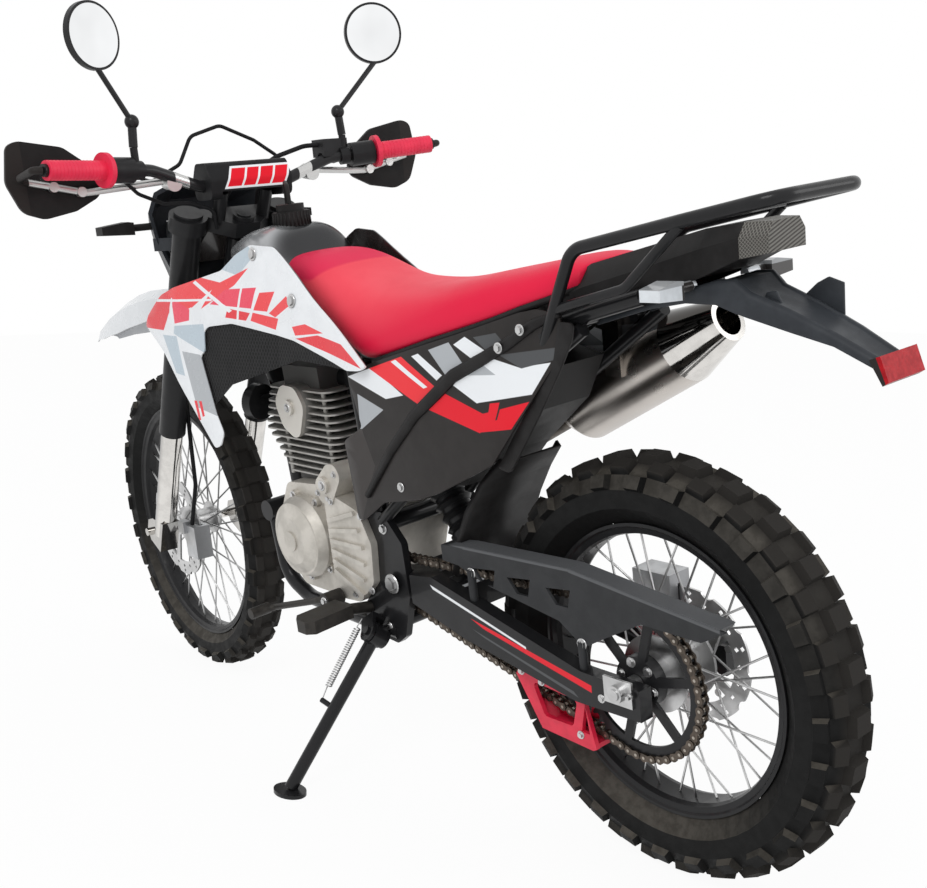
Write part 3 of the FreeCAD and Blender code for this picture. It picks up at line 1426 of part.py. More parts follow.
def stand_bracket():
    """Forked bracket on the frame that carries the stand's hinge bolt."""
    hinge, foot, axis = stand_frame()
    down = (foot - hinge).normalize()
    away = -(down + stand_folded()).normalize()
    away = (away - axis * away.dot(axis)).normalize()
    across = axis.cross(away).normalize()
    pieces = [rod(hinge - axis * 24, hinge + axis * 24, stand_bolt_radius)]
    for low, high in ((-20, -13), (13, 20)):
        pieces.append(rod(hinge + axis * low, hinge + axis * high, 19))
        pieces.append(block_in(hinge, away, across, axis, (0, -17, low), (35, 17, high)))
    pieces.append(block_in(hinge, away, across, axis, (26, -17, -20), (35, 17, 20)))
    base = hinge + away * 33
    pieces.append(rod(vector(base.x, 92, base.z), vector(base.x, base.y, base.z), 10))
    return join(pieces)


def spring_lug():
    """Root and tip of the pin on the leg that the spring hooks over."""
    hinge, foot, axis = stand_frame()
    down = (foot - hinge).normalize()
    root = hinge + (foot - hinge) * 0.48
    return root, root + axis.cross(-down).normalize() * 30 + axis * 16


def stand_spring():
    """Return spring between the bracket and the leg."""
    hinge, foot, axis = stand_frame()
    away = -((foot - hinge).normalize() + stand_folded()).normalize()
    top = hinge + away * 22 + axis * 31
    bottom = spring_lug()[1]
    run = (bottom - top).normalize()
    return rod(top, bottom - run * 5.2, 7)


def stand():
    return {"side_stand": side_stand(), "stand_spring": stand_spring()}


# The whole machine


def lift_of_lean():
    """How far the wheels' centre plane rises when the machine leans on round tyres."""
    return tyre_crown * (1 - math.cos(math.radians(lean_angle)))


def turned_wheel():
    """How the parked front wheel tilts, which turn of it is lowest, and how much shorter its
    tread has to be, because a turned wheel tilts less than the machine leans."""
    steer_line = on_steering_axis(1) - on_steering_axis(0)
    steer = FreeCAD.Rotation(steer_line, parked_steer)
    lean = FreeCAD.Rotation(vector(1, 0, 0), -lean_angle)
    axle = lean.multVec(steer.multVec(vector(0, 1, 0)))
    tilt = math.asin(abs(axle.z))
    down = steer.inverted().multVec(lean.inverted().multVec(vector(0, 0, -1)))
    lowest = math.atan2(down.x, -down.z)
    pivot = on_steering_axis(0)
    centre = steer.multVec(vector(wheelbase, 0, front_tyre_radius) - pivot) + pivot
    height = lean.multVec(centre).z + lift_of_lean()
    ground = (front_tyre_radius - tyre_crown) * math.cos(tilt) + tyre_crown
    return tilt, lowest, (ground - height) / math.cos(tilt)


def turned_with_steering(shape):
    shape = shape.copy()
    shape.rotate(on_steering_axis(0), on_steering_axis(1) - on_steering_axis(0), parked_steer)
    return shape


def parked(shape):
    """Lean the machine onto its stand and move the origin under its middle."""
    shape = shape.copy()
    shape.rotate(vector(0, 0, 0), vector(1, 0, 0), -lean_angle)
    shape.translate(vector(-middle_x, middle_y, lift_of_lean()))
    return shape


def carve(group, name, givers):
    """Take the named neighbours out of a piece, so that they meet face to face."""
    shape = group[name]
    tools = []
    for giver in givers:
        tools += solids_of(group[giver])
    left = shape.cut(Part.makeCompound(tools))
    keep = [solid for solid in left.Solids if solid.Volume > 0.02 * shape.Volume]
    group[name] = keep[0] if len(keep) == 1 else Part.makeCompound(keep)


def settle(group, rules):
    for name, givers in rules:
        carve(group, name, givers)
    return group


def all_nodes():
    """Every piece in its parked place, by name."""
    nodes = {}
    for group in (chassis(), stand(), rear_wheel()):
        for name, shape in group.items():
            nodes[name] = parked(shape)
    for group in (front_end(), front_wheel()):
        for name, shape in group.items():
            nodes[name] = parked(turned_with_steering(shape))
    return nodes


def main():
    os.makedirs("parts", exist_ok=True)
    for name, shape in all_nodes().items():
        shape.exportStep("parts/" + name + ".step")


if __name__ == "__main__":
    main()
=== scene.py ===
import math
import bmesh
import bpy
from mathutils import Matrix, Vector


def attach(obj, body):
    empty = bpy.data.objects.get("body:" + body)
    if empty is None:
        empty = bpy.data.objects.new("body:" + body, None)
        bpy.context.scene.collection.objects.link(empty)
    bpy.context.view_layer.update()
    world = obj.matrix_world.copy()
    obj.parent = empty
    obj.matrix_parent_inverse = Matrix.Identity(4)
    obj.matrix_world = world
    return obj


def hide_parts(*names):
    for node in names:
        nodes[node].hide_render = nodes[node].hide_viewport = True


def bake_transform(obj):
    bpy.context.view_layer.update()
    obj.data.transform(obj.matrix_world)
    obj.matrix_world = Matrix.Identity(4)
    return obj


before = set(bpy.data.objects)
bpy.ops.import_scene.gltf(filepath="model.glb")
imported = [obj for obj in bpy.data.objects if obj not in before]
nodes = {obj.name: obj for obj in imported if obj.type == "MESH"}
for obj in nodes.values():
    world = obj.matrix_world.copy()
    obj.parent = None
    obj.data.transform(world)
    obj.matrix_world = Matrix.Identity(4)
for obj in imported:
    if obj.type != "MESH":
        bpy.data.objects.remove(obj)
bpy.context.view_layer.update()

# Where the upright machine's own axes lie in the shared frame. Lengths in code are in mm.
parkedValues = {
    "lean": 8.3,
    "middleX": 717.0,
    "middleY": -158.0,
    "lift": 0.628,
    "steer": -4.5,
    "wheelbase": 1450.0,
    "rake": 27.0,
    "trail": 110.0,
}
leanTurn = Matrix.Rotation(math.radians(-parkedValues["lean"]), 4, "X")
parkedShift = Vector((-parkedValues["middleX"], parkedValues["middleY"], parkedValues["lift"]))
rakeAngle = math.radians(parkedValues["rake"])
steerAxis = Vector((-math.sin(rakeAngle), 0, math.cos(rakeAngle)))
steerFoot = Vector((parkedValues["wheelbase"] + parkedValues["trail"], 0, 0))
steerTurn = Matrix.Rotation(math.radians(parkedValues["steer"]), 4, steerAxis)
ahead, left, right, upward = (1, 0, 0), (0, 1, 0), (0, -1, 0), (0, 0, 1)


def place(x, y, z, steered=False):
    # A point of the upright machine, in mm, as a point of the shared frame in metres.
    point = Vector((x, y, z))
    if steered:
        point = steerTurn @ (point - steerFoot) + steerFoot
    return (leanTurn @ point + parkedShift) / 1000


def heading(x, y, z, steered=False):
    # A direction of the upright machine in the shared frame.
    return (place(x, y, z, steered) - place(0, 0, 0, steered)).normalized()


def linked(name, mesh, body, finish):
    # A new piece that rides on a body, or on none yet.
    piece = bpy.data.objects.new(name, mesh)
    bpy.context.scene.collection.objects.link(piece)
    mesh.materials.append(materials[finish])
    if body:
        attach(piece, body)
    return piece


def meshOf(name, bm, smooth=True):
    mesh = bpy.data.meshes.new(name)
    bm.to_mesh(mesh)
    bm.free()
    for face in mesh.polygons:
        face.use_smooth = smooth
    return mesh


def finished(name, bm, body, finish, smooth=True):
    bmesh.ops.recalc_face_normals(bm, faces=bm.faces)
    return linked(name, meshOf(name, bm, smooth), body, finish)


def section(bm, x, points):
    # The vertices of one section across the machine.
    return [bm.verts.new(place(x, y, z)) for y, z in points]


def halfProfile(table, top, bottom, half):
    # Rows give a share of the half width, mm out, a share of the height and mm up.
    return [(half * wide + out, bottom + (top - bottom) * high + up)
            for wide, out, high, up in table]


def sideLoop(bm, y, outline):
    # The vertices of one outline seen from the side.
    return [bm.verts.new(place(x, y, z)) for x, z in outline]


def mirrored(points):
    return [(-across, up) for across, up in reversed(points)]


def loft(bm, loops, closed=True):
    # Quads between loops of vertices; closed loops get an end face too.
    count = len(loops[0])
    for near, far in zip(loops, loops[1:]):
        for index in range(count if closed else count - 1):
            after = (index + 1) % count
            bm.faces.new((near[index], near[after], far[after], far[index]))
    if closed:
        bm.faces.new(loops[0])
        bm.faces.new(loops[-1][::-1])


def bevelled(piece, width, degrees):
    # Soft edges, with a width in mm, where faces meet at more than the angle.
    edge = piece.modifiers.new("edge", "BEVEL")
    edge.width = width / 1000
    edge.segments = 2
    edge.limit_method = "ANGLE"
    edge.angle_limit = math.radians(degrees)


def thickened(piece, thickness):
    thick = piece.modifiers.new("thickness", "SOLIDIFY")
    thick.thickness = thickness / 1000
    thick.offset = -1.0


def subdivided(piece, levels):
    smoother = piece.modifiers.new("smooth", "SUBSURF")
    smoother.levels = levels
    smoother.render_levels = levels


def spotTurned(at, facing, steered=False):
    # A frame whose Z axis faces a direction of the upright machine, at a point of it.
    turn = heading(*facing, steered).to_track_quat("Z", "Y").to_matrix().to_4x4()
    return Matrix.Translation(place(*at, steered)) @ turn


def addDrum(bm, spot, radius, low, high, sides=24, topShare=1.0, slotIndex=0):
    # A capped drum or cone along the Z axis of a frame, in mm.
    middle = spot @ Matrix.Translation((0, 0, (low + high) / 2000))
    made = bmesh.ops.create_cone(bm, cap_ends=True, segments=sides, radius1=radius / 1000,
                                 radius2=radius * topShare / 1000, depth=(high - low) / 1000,
                                 matrix=middle)
    for face in {face for vert in made["verts"] for face in vert.link_faces}:
        face.material_index = slotIndex


# Nodes and shared shader groups


def feed(tree, slot, value):
    # Gives a socket its value, or a link where the value is another socket.
    if isinstance(value, bpy.types.NodeSocket):
        tree.links.new(value, slot)
    elif slot.type == "RGBA":
        slot.default_value = (*value, 1.0)
    elif value is not None:
        slot.default_value = value


def feedAll(tree, node, inputs):
    for label, value in inputs.items():
        feed(tree, node.inputs[label], value)


def addNode(tree, kind, inputs=None, **settings):
    node = tree.nodes.new("ShaderNode" + kind)
    for label, value in settings.items():
        setattr(node, label, value)
    feedAll(tree, node, inputs or {})
    return node


def calculation(tree, operation, first, second=None, clamp=False):
    # A Math node; each operand is a socket or a number.
    return addNode(tree, "Math", {0: first, 1: second}, operation=operation,
                   use_clamp=clamp).outputs[0]


def vectorStep(tree, operation, first, second=None):
    # A Vector Math node; a dot product or a length gives a number, the others a vector.
    node = addNode(tree, "VectorMath", {0: first, 1: second}, operation=operation)
    return node.outputs["Value" if operation in ("DOT_PRODUCT", "LENGTH") else "Vector"]


def smoothRange(tree, value, low, high):
    # 0 at the low limit and 1 at the high one, with a smooth change between them.
    return addNode(tree, "MapRange", {"Value": value, "From Min": low, "From Max": high},
                   interpolation_type="SMOOTHSTEP").outputs["Result"]


def bumpNormal(tree, height, strength, distance):
    return addNode(tree, "Bump", {"Height": height, "Strength": strength,
                                  "Distance": distance}).outputs["Normal"]


def product(tree, masks):
    whole = masks[0]
    for mask in masks[1:]:
        whole = calculation(tree, "MULTIPLY", whole, mask)
    return whole


def softEdge(tree, first, second, softness):
    # Goes from 0 to 1 where the first number passes the second.
    depth = calculation(tree, "DIVIDE", calculation(tree, "SUBTRACT", first, second), softness)
    return calculation(tree, "ADD", depth, 0.5, clamp=True)


def between(tree, value, low, high, softness):
    return product(tree, [softEdge(tree, value, low, softness),
                          softEdge(tree, high, value, softness)])


def makeGroup(name, fill, output, **inputs):
    # A shared group with one output, which gets the socket that fill hands back.
    group = bpy.data.node_groups.new(name, "ShaderNodeTree")
    for label, value in inputs.items():
        kind = "NodeSocketFloat" if isinstance(value, float) else "NodeSocketVector"
        socket = group.interface.new_socket(name=label, in_out="INPUT", socket_type=kind)
        if value is not None:
            socket.default_value = value
    kind = "NodeSocketVector" if output == "Normal" else "NodeSocketFloat"
    group.interface.new_socket(name=output, in_out="OUTPUT", socket_type=kind)
    entry = group.nodes.new("NodeGroupInput")
    leave = group.nodes.new("NodeGroupOutput")
    group.links.new(fill(group, entry.outputs), leave.inputs[output])
    return group


def fillMottle(tree, given):
    # Soft patches between 0 and 1, for small changes of colour and gloss.
    noise = addNode(tree, "TexNoise", {"Vector": given["Vector"], "Scale": given["Scale"],
                                       "Detail": given["Detail"], "Roughness": 0.6})
    return smoothRange(tree, noise.outputs["Fac"], 0.35, 0.65)


def fillGrain(tree, given):
    # A fine moulded or cast grain as a normal.
    scaled = vectorStep(tree, "MULTIPLY", given["Vector"], given["Stretch"])
    noise = addNode(tree, "TexNoise", {"Vector": scaled, "Scale": given["Scale"], "Detail": 3.0})
    return bumpNormal(tree, noise.outputs["Fac"], given["Depth"], 0.0004)


def fillQuadPatch(tree, given):
    # 1 inside four planes and 0 outside, with a soft edge.
    masks = []
    for letter in "ABCD":
        height = vectorStep(tree, "DOT_PRODUCT", given["Vector"], given["Normal " + letter])
        masks.append(softEdge(tree, height, given["Offset " + letter], given["Softness"]))
    return product(tree, masks)


def fillDiamondMesh(tree, given):
    # Crossed wires, 1 on the wire, drawn on the plane given by two directions.
    strands = []
    for label in ("First", "Second"):
        wave = vectorStep(tree, "DOT_PRODUCT", given["Vector"], given[label])
        wave = calculation(tree, "SUBTRACT", calculation(tree, "FRACT", wave), 0.5)
        strands.append(calculation(tree, "MULTIPLY", calculation(tree, "ABSOLUTE", wave), 2.0))
    edge = calculation(tree, "SUBTRACT", given["Wire"], calculation(tree, "MINIMUM", *strands))
    return calculation(tree, "MULTIPLY", edge, 8.0, clamp=True)


def fillSlabMask(tree, given):
    # 1 between two parallel planes.
    height = vectorStep(tree, "DOT_PRODUCT", given["Vector"], given["Normal"])
    return between(tree, height, given["Low"], given["High"], given["Softness"])


def fillRingMask(tree, given):
    # 1 where the distance from an axle lies between two radii.
    away = vectorStep(tree, "SUBTRACT", given["Vector"], given["Centre"])
    reach = vectorStep(tree, "LENGTH", vectorStep(tree, "CROSS_PRODUCT", away, given["Axle"]))
    return between(tree, reach, given["Inner"], given["Outer"], given["Softness"])


def fillSideShade(tree, given):
    # 1 where a surface faces a given way and 0 where it faces off; mostly used for painted shade
    # and painted reflection, as polish picks up a sky.
    normal = addNode(tree, "NewGeometry").outputs["Normal"]
    along = vectorStep(tree, "DOT_PRODUCT", normal, given["Direction"])
    return smoothRange(tree, along, given["Low"], given["High"])


mottleGroup = makeGroup("mottle", fillMottle, "Value", Vector=None, Scale=20.0, Detail=4.0)
sideGroup = makeGroup("sideShade", fillSideShade, "Mask", Direction=upward, Low=-0.2, High=0.7)
slabGroup = makeGroup("slabMask", fillSlabMask, "Mask", Vector=None, Normal=upward, Low=0.0,
                      High=1.0, Softness=0.0006)
ringGroup = makeGroup("ringMask", fillRingMask, "Mask", Vector=None, Centre=(0, 0, 0), Axle=left,
                      Inner=0.0, Outer=1.0, Softness=0.0008)
grainGroup = makeGroup("grain", fillGrain, "Normal", Vector=None, Scale=900.0, Depth=0.2,
                       Stretch=(1, 1, 1))
quadPatchGroup = makeGroup("quadPatch", fillQuadPatch, "Mask", Vector=None, Softness=0.0006,
                           **{"Normal " + letter: upward for letter in "ABCD"},
                           **{"Offset " + letter: 0.0 for letter in "ABCD"})
diamondGroup = makeGroup("diamondMesh", fillDiamondMesh, "Mask", Vector=None, First=ahead,
                         Second=upward, Wire=0.35)
print("shader groups made")

# Materials


def useGroup(tree, group, **values):
    return addNode(tree, "Group", values, node_tree=group).outputs[0]


def mixColour(tree, factor, first, second):
    # By number, as inputs share names: 6, 7 and output 2 are the Mix node's colours.
    return addNode(tree, "Mix", {0: factor, 6: first, 7: second}, data_type="RGBA").outputs[2]


def blended(tree, mask, before, after):
    # A number that goes from one value to another as the mask goes from 0 to 1.
    return addNode(tree, "Mix", {0: mask, 2: before, 3: after}).outputs[0]


def sideMask(tree, direction, low, high):
    return useGroup(tree, sideGroup, Direction=heading(*direction), Low=low, High=high)


def slabMask(tree, coordinates, direction, low, high, steered=False, softness=0.0006):
    # Between two planes square to a direction of the upright machine, in mm along it.
    normal = heading(*direction, steered)
    start = normal.dot(place(0, 0, 0, steered))
    return useGroup(tree, slabGroup, Vector=coordinates, Normal=normal, Low=start + low / 1000,
                    High=start + high / 1000, Softness=softness)


def ringMask(tree, coordinates, centre, inner, outer, steered=False, softness=0.0008):
    # Between two radii about an axle that runs across the machine.
    return useGroup(tree, ringGroup, Vector=coordinates, Axle=heading(*left, steered),
                    Centre=place(centre[0], 0, centre[1], steered), Inner=inner / 1000,
                    Outer=outer / 1000, Softness=softness)


def planeOf(start, end, inner, steered=False):
    # The plane through a side-view edge, square to the side view, facing the inner point.
    first, second, within = (place(x, 0, z, steered) for x, z in (start, end, inner))
    normal = (second - first).cross(heading(*left, steered)).normalized()
    if normal.dot(within) < normal.dot(first):
        normal = -normal
    return normal, normal.dot(first)


def patchMask(tree, coordinates, corners, steered=False, softness=0.0008):
    # The mask of a convex side-view shape with four corners.
    middle = [sum(part) / len(corners) for part in zip(*corners)]
    planes = {}
    for letter, start, end in zip("ABCD", corners, corners[1:] + corners[:1]):
        normal, offset = planeOf(start, end, middle, steered)
        planes.update({"Normal " + letter: normal, "Offset " + letter: offset})
    return useGroup(tree, quadPatchGroup, Vector=coordinates, Softness=softness, **planes)


def shapeMask(tree, coordinates, shape):
    # One painted region: the overlap of all the limits that the shape gives.
    steered = shape.get("steered", False)
    soft = {"softness": shape["soft"]} if "soft" in shape else {}
    masks = [slabMask(tree, coordinates, *slab, steered, **soft)
             for slab in shape.get("slabs", ())]
    if "corners" in shape:
        masks.append(patchMask(tree, coordinates, shape["corners"], steered, **soft))
    if "ring" in shape:
        masks.append(ringMask(tree, coordinates, *shape["ring"], steered, **soft))
    return product(tree, masks)


def newMaterial(name):
    material = bpy.data.materials.new(name)
    material.use_nodes = True
    tree = material.node_tree
    coordinates = addNode(tree, "TexCoord").outputs["Object"]
    return material, tree, tree.nodes["Principled BSDF"], coordinates


def makeFinish(name, colour, second=None, roughness=0.5, spread=0.08, metallic=0.0, coat=0.0,
               mottleScale=30, grainScale=900, grainDepth=0.15, stretch=(1.0, 1.0, 1.0),
               shapes=(), dark=None, side=(-0.2, 0.6, 0.8), sideRange=(-0.2, 0.7), shine=0.5,
               outside=None):
    # A Principled material with mottled colour and gloss, a grain, painted shapes and, where
    # asked, painted shade and reflection by facing.
    material, tree, surface, coordinates = newMaterial(name)
    mottle = useGroup(tree, mottleGroup, Vector=coordinates, Scale=mottleScale)
    grain = useGroup(tree, grainGroup, Vector=coordinates, Scale=grainScale, Depth=grainDepth,
                     Stretch=stretch)
    shade = mixColour(tree, mottle, colour, second or tuple(c * 0.86 for c in colour))
    # Painted shade and painted reflection: faces that turn from the side direction take the dark
    # colour; on the lamp glass this makes its backward faces coal.
    if dark:
        shade = mixColour(tree, sideMask(tree, side, *sideRange), dark, shade)
    gloss = calculation(tree, "ADD", calculation(tree, "MULTIPLY", mottle, spread), roughness)
    metal = metallic
    for shape in shapes:
        mask = shapeMask(tree, coordinates, shape)
        shade = mixColour(tree, mask, shade, shape["colour"])
        if "roughness" in shape:
            gloss = blended(tree, mask, gloss, shape["roughness"])
        if "metallic" in shape:
            metal = blended(tree, mask, metal, shape["metallic"])
    if outside:
        # Painted shade: the inner face of a thin cover is painted coal where it faces inwards.
        shade = mixColour(tree, sideMask(tree, outside, -0.2, 0.0), coal, shade)
    feedAll(tree, surface, {"Base Color": shade, "Roughness": gloss, "Metallic": metal,
                            "Normal": grain, "Coat Weight": coat, "Coat Roughness": 0.06,
                            "Specular IOR Level": shine})
    return material


def patches(rows):
    # Painted shapes from rows of a colour and four side-view corners.
    return [dict(colour=colour, corners=corners) for colour, *corners in rows]


def bands(direction, spans, **look):
    # Painted shapes between pairs of parallel planes, all with one look.
    return [dict(look, slabs=[(direction, low, high)]) for low, high in spans]


red = (0.74, 0.008, 0.022)
coral = (0.82, 0.035, 0.045)
rose = (0.80, 0.04, 0.09)
paper = (0.80, 0.82, 0.84)
ice = (0.46, 0.54, 0.60)
coal = (0.020, 0.017, 0.016)
midGrey = (0.075, 0.078, 0.082)
paleGrey = (0.40, 0.42, 0.44)

cowlShapes = patches([
    (ice, (914, 958), (833, 1000), (812, 982), (862, 946)),
    (red, (1190, 846), (1128, 916), (1062, 930), (1083, 877)),
    (red, (1083, 879), (1113, 843), (1190, 846), (1100, 900)),
    (coral, (1062, 930), (979, 944), (914, 934), (1004, 888)),
    (coral, (1082, 912), (1062, 930), (1000, 891), (1022, 884)),
    (rose, (1068, 907), (1012, 885), (1018, 864), (1068, 857)),
    (coral, (930, 930), (832, 959), (872, 929), (975, 886)),
    (rose, (899, 922), (808, 925), (823, 888), (946, 895)),
    (coral, (798, 916), (755, 918), (778, 883), (817, 885)),
    (red, (903, 871), (842, 866), (828, 880), (893, 888)),
    (coral, (829, 866), (759, 851), (748, 871), (820, 881)),
    (coral, (774, 880), (719, 911), (704, 897), (757, 873)),
    (red, (700, 838), (506, 797), (565, 834), (634, 846)),
    (coral, (708, 858), (668, 864), (617, 850), (700, 843)),
    (paper, (1128, 903), (1126, 898), (940, 901), (940, 905)),
    (paper, (1000, 934), (992, 938), (880, 884), (890, 880)),
    (paper, (852, 930), (846, 930), (866, 860), (872, 860)),
    (ice, (1069, 853), (974, 858), (970, 802), (1075, 838)),
    (ice, (1117, 834), (1065, 833), (1042, 758), (1072, 762)),
    (paleGrey, (1048, 805), (989, 800), (942, 686), (1008, 700)),
    (red, (1016, 712), (1007, 712), (996, 676), (1003, 674)),
    (red, (1001, 712), (992, 712), (984, 684), (991, 682)),
])
panelShapes = patches([
    (paper, (572, 777), (498, 797), (418, 757), (467, 747)),
    (coral, (506, 795), (414, 820), (314, 765), (372, 742)),
    (red, (374, 743), (314, 768), (222, 741), (238, 712)),
    (red, (236, 741), (130, 768), (170, 724), (240, 713)),
    (paper, (443, 810), (430, 814), (354, 775), (364, 772)),
    (paper, (387, 822), (370, 827), (316, 796), (330, 787)),
    (paleGrey, (344, 834), (294, 848), (256, 807), (298, 787)),
    (paper, (256, 858), (213, 839), (243, 825), (283, 845)),
    (paper, (218, 832), (140, 816), (124, 779), (237, 759)),
    (paper, (142, 818), (84, 827), (124, 779), (134, 780)),
    (paper, (300, 786), (214, 833), (236, 759), (240, 758)),
    (paleGrey, (277, 798), (194, 804), (236, 826), (250, 824)),
    (midGrey, (184, 834), (70, 849), (78, 831), (141, 816)),
    (midGrey, (237, 858), (188, 866), (168, 848), (208, 838)),
    (red, (211, 760), (190, 763), (200, 738), (219, 735)),
    (coal, (188, 766), (184, 766), (198, 736), (202, 735)),
    (paleGrey, (548, 749), (477, 728), (545, 689), (550, 689)),
    ((0.036, 0.031, 0.029), (606, 672), (546, 689), (518, 628), (575, 520)),
])
armShapes = patches([
    (red, (330, 384), (300, 372), (60, 322), (60, 334)),
    (paper, (430, 424), (424, 417), (200, 360), (200, 364)),
    (midGrey, (330, 366), (300, 356), (90, 306), (100, 314)),
])

frontAxle, rearAxle = (1450, 350), (0, 340)
dust = (0.022, 0.020, 0.018)
steelGrey = (0.58, 0.58, 0.57)
railGrey = (0.10, 0.103, 0.108)
frontTyreShapes = [dict(colour=dust, ring=(frontAxle, 333, 356), steered=True, soft=0.006,
                        roughness=0.7)]
rearTyreShapes = [dict(colour=dust, ring=(rearAxle, 322, 346), soft=0.008, roughness=0.8)]
guardShapes = bands(ahead, [(930, 1053)], colour=steelGrey, steered=True, metallic=0.9,
                    roughness=0.32)
guardShapes += bands(left, [(404, 470), (-470, -404)], colour=coal, steered=True, metallic=0.0,
                     roughness=0.5)
controlShapes = bands((-0.243, 1, 0.055), [(-40, 2)], colour=steelGrey, steered=True,
                      metallic=0.9, roughness=0.3)
barShapes = bands(left, [(118, 146), (-146, -118)], colour=steelGrey, steered=True,
                  metallic=0.9, roughness=0.25)
cylinderShapes = bands(left, [(88, 110)], colour=(0.60, 0.575, 0.53), roughness=0.4)
# Painted shade between the fins: the cylinder's core inside the fin edges is painted dark.
cylinderShapes += [dict(colour=(0.10, 0.098, 0.094), slabs=[(left, -63, 63), (ahead, 744, 878)],
                        roughness=0.7)]
padShapes = [dict(colour=colour, slabs=[((0, 1, 0.5), *across), (upward, *high)], steered=True)
             for colour, across, high in (
                 (paper, (426, 542), (1094, 1135)), (red, (430, 454), (1098, 1131)),
                 (red, (458, 482), (1098, 1131)), (red, (486, 508), (1098, 1131)),
                 (red, (512, 538), (1098, 1131)))]
reflectorShapes = patches([(coal, (-378, 842), (-389, 850), (-403, 816), (-399, 809))])
indicatorShapes = bands(left, [(-150, -80)], colour=coal, roughness=0.4)
indicatorShapes += bands(left, [(60, 96)], colour=coal, roughness=0.5)
indicatorShapes += bands(upward, [(936, 960)], colour=(0.30, 0.31, 0.32), roughness=0.3)
seatShapes = bands((0.30, 0, 1), [(760, 985)], colour=(0.72, 0.010, 0.050), soft=0.075)
seatShapes += [dict(colour=(0.70, 0.020, 0.075), soft=0.006,
                    corners=[(860, 1000), (560, 1000), (690, 932), (806, 932)])]
guardRailShapes = patches([
    (railGrey, (410, 512), (410, 500), (346, 500), (346, 512)),
    (railGrey, (346, 512), (346, 499), (100, 506), (100, 514)),
    (railGrey, (100, 514), (100, 505), (-184, 470), (-184, 480)),
])
# Painted light on the tyres: faces that look up keep the brown rubber colour as a painted
# highlight, and the rest turns near black as painted shade.
tyreRubber = dict(colour=(0.075, 0.068, 0.058), second=(0.050, 0.045, 0.038), roughness=0.55,
                  spread=0.12, mottleScale=60, grainDepth=0.4, shine=0.14,
                  dark=(0.006, 0.006, 0.006), side=(-0.2, 0.3, 0.95), sideRange=(0.35, 0.95))
blackMoulding = dict(colour=(0.013, 0.012, 0.012), roughness=0.46, grainScale=1600,
                     grainDepth=0.3, shine=0.14)
blackPaint = dict(colour=(0.014, 0.014, 0.015), roughness=0.36, shine=0.18)
darkest = dict(colour=(0.012, 0.012, 0.013), shine=0.14)
cowlCoat = dict(colour=paper, second=(0.76, 0.78, 0.80), roughness=0.22, coat=0.4,
                grainDepth=0.02, shapes=cowlShapes)
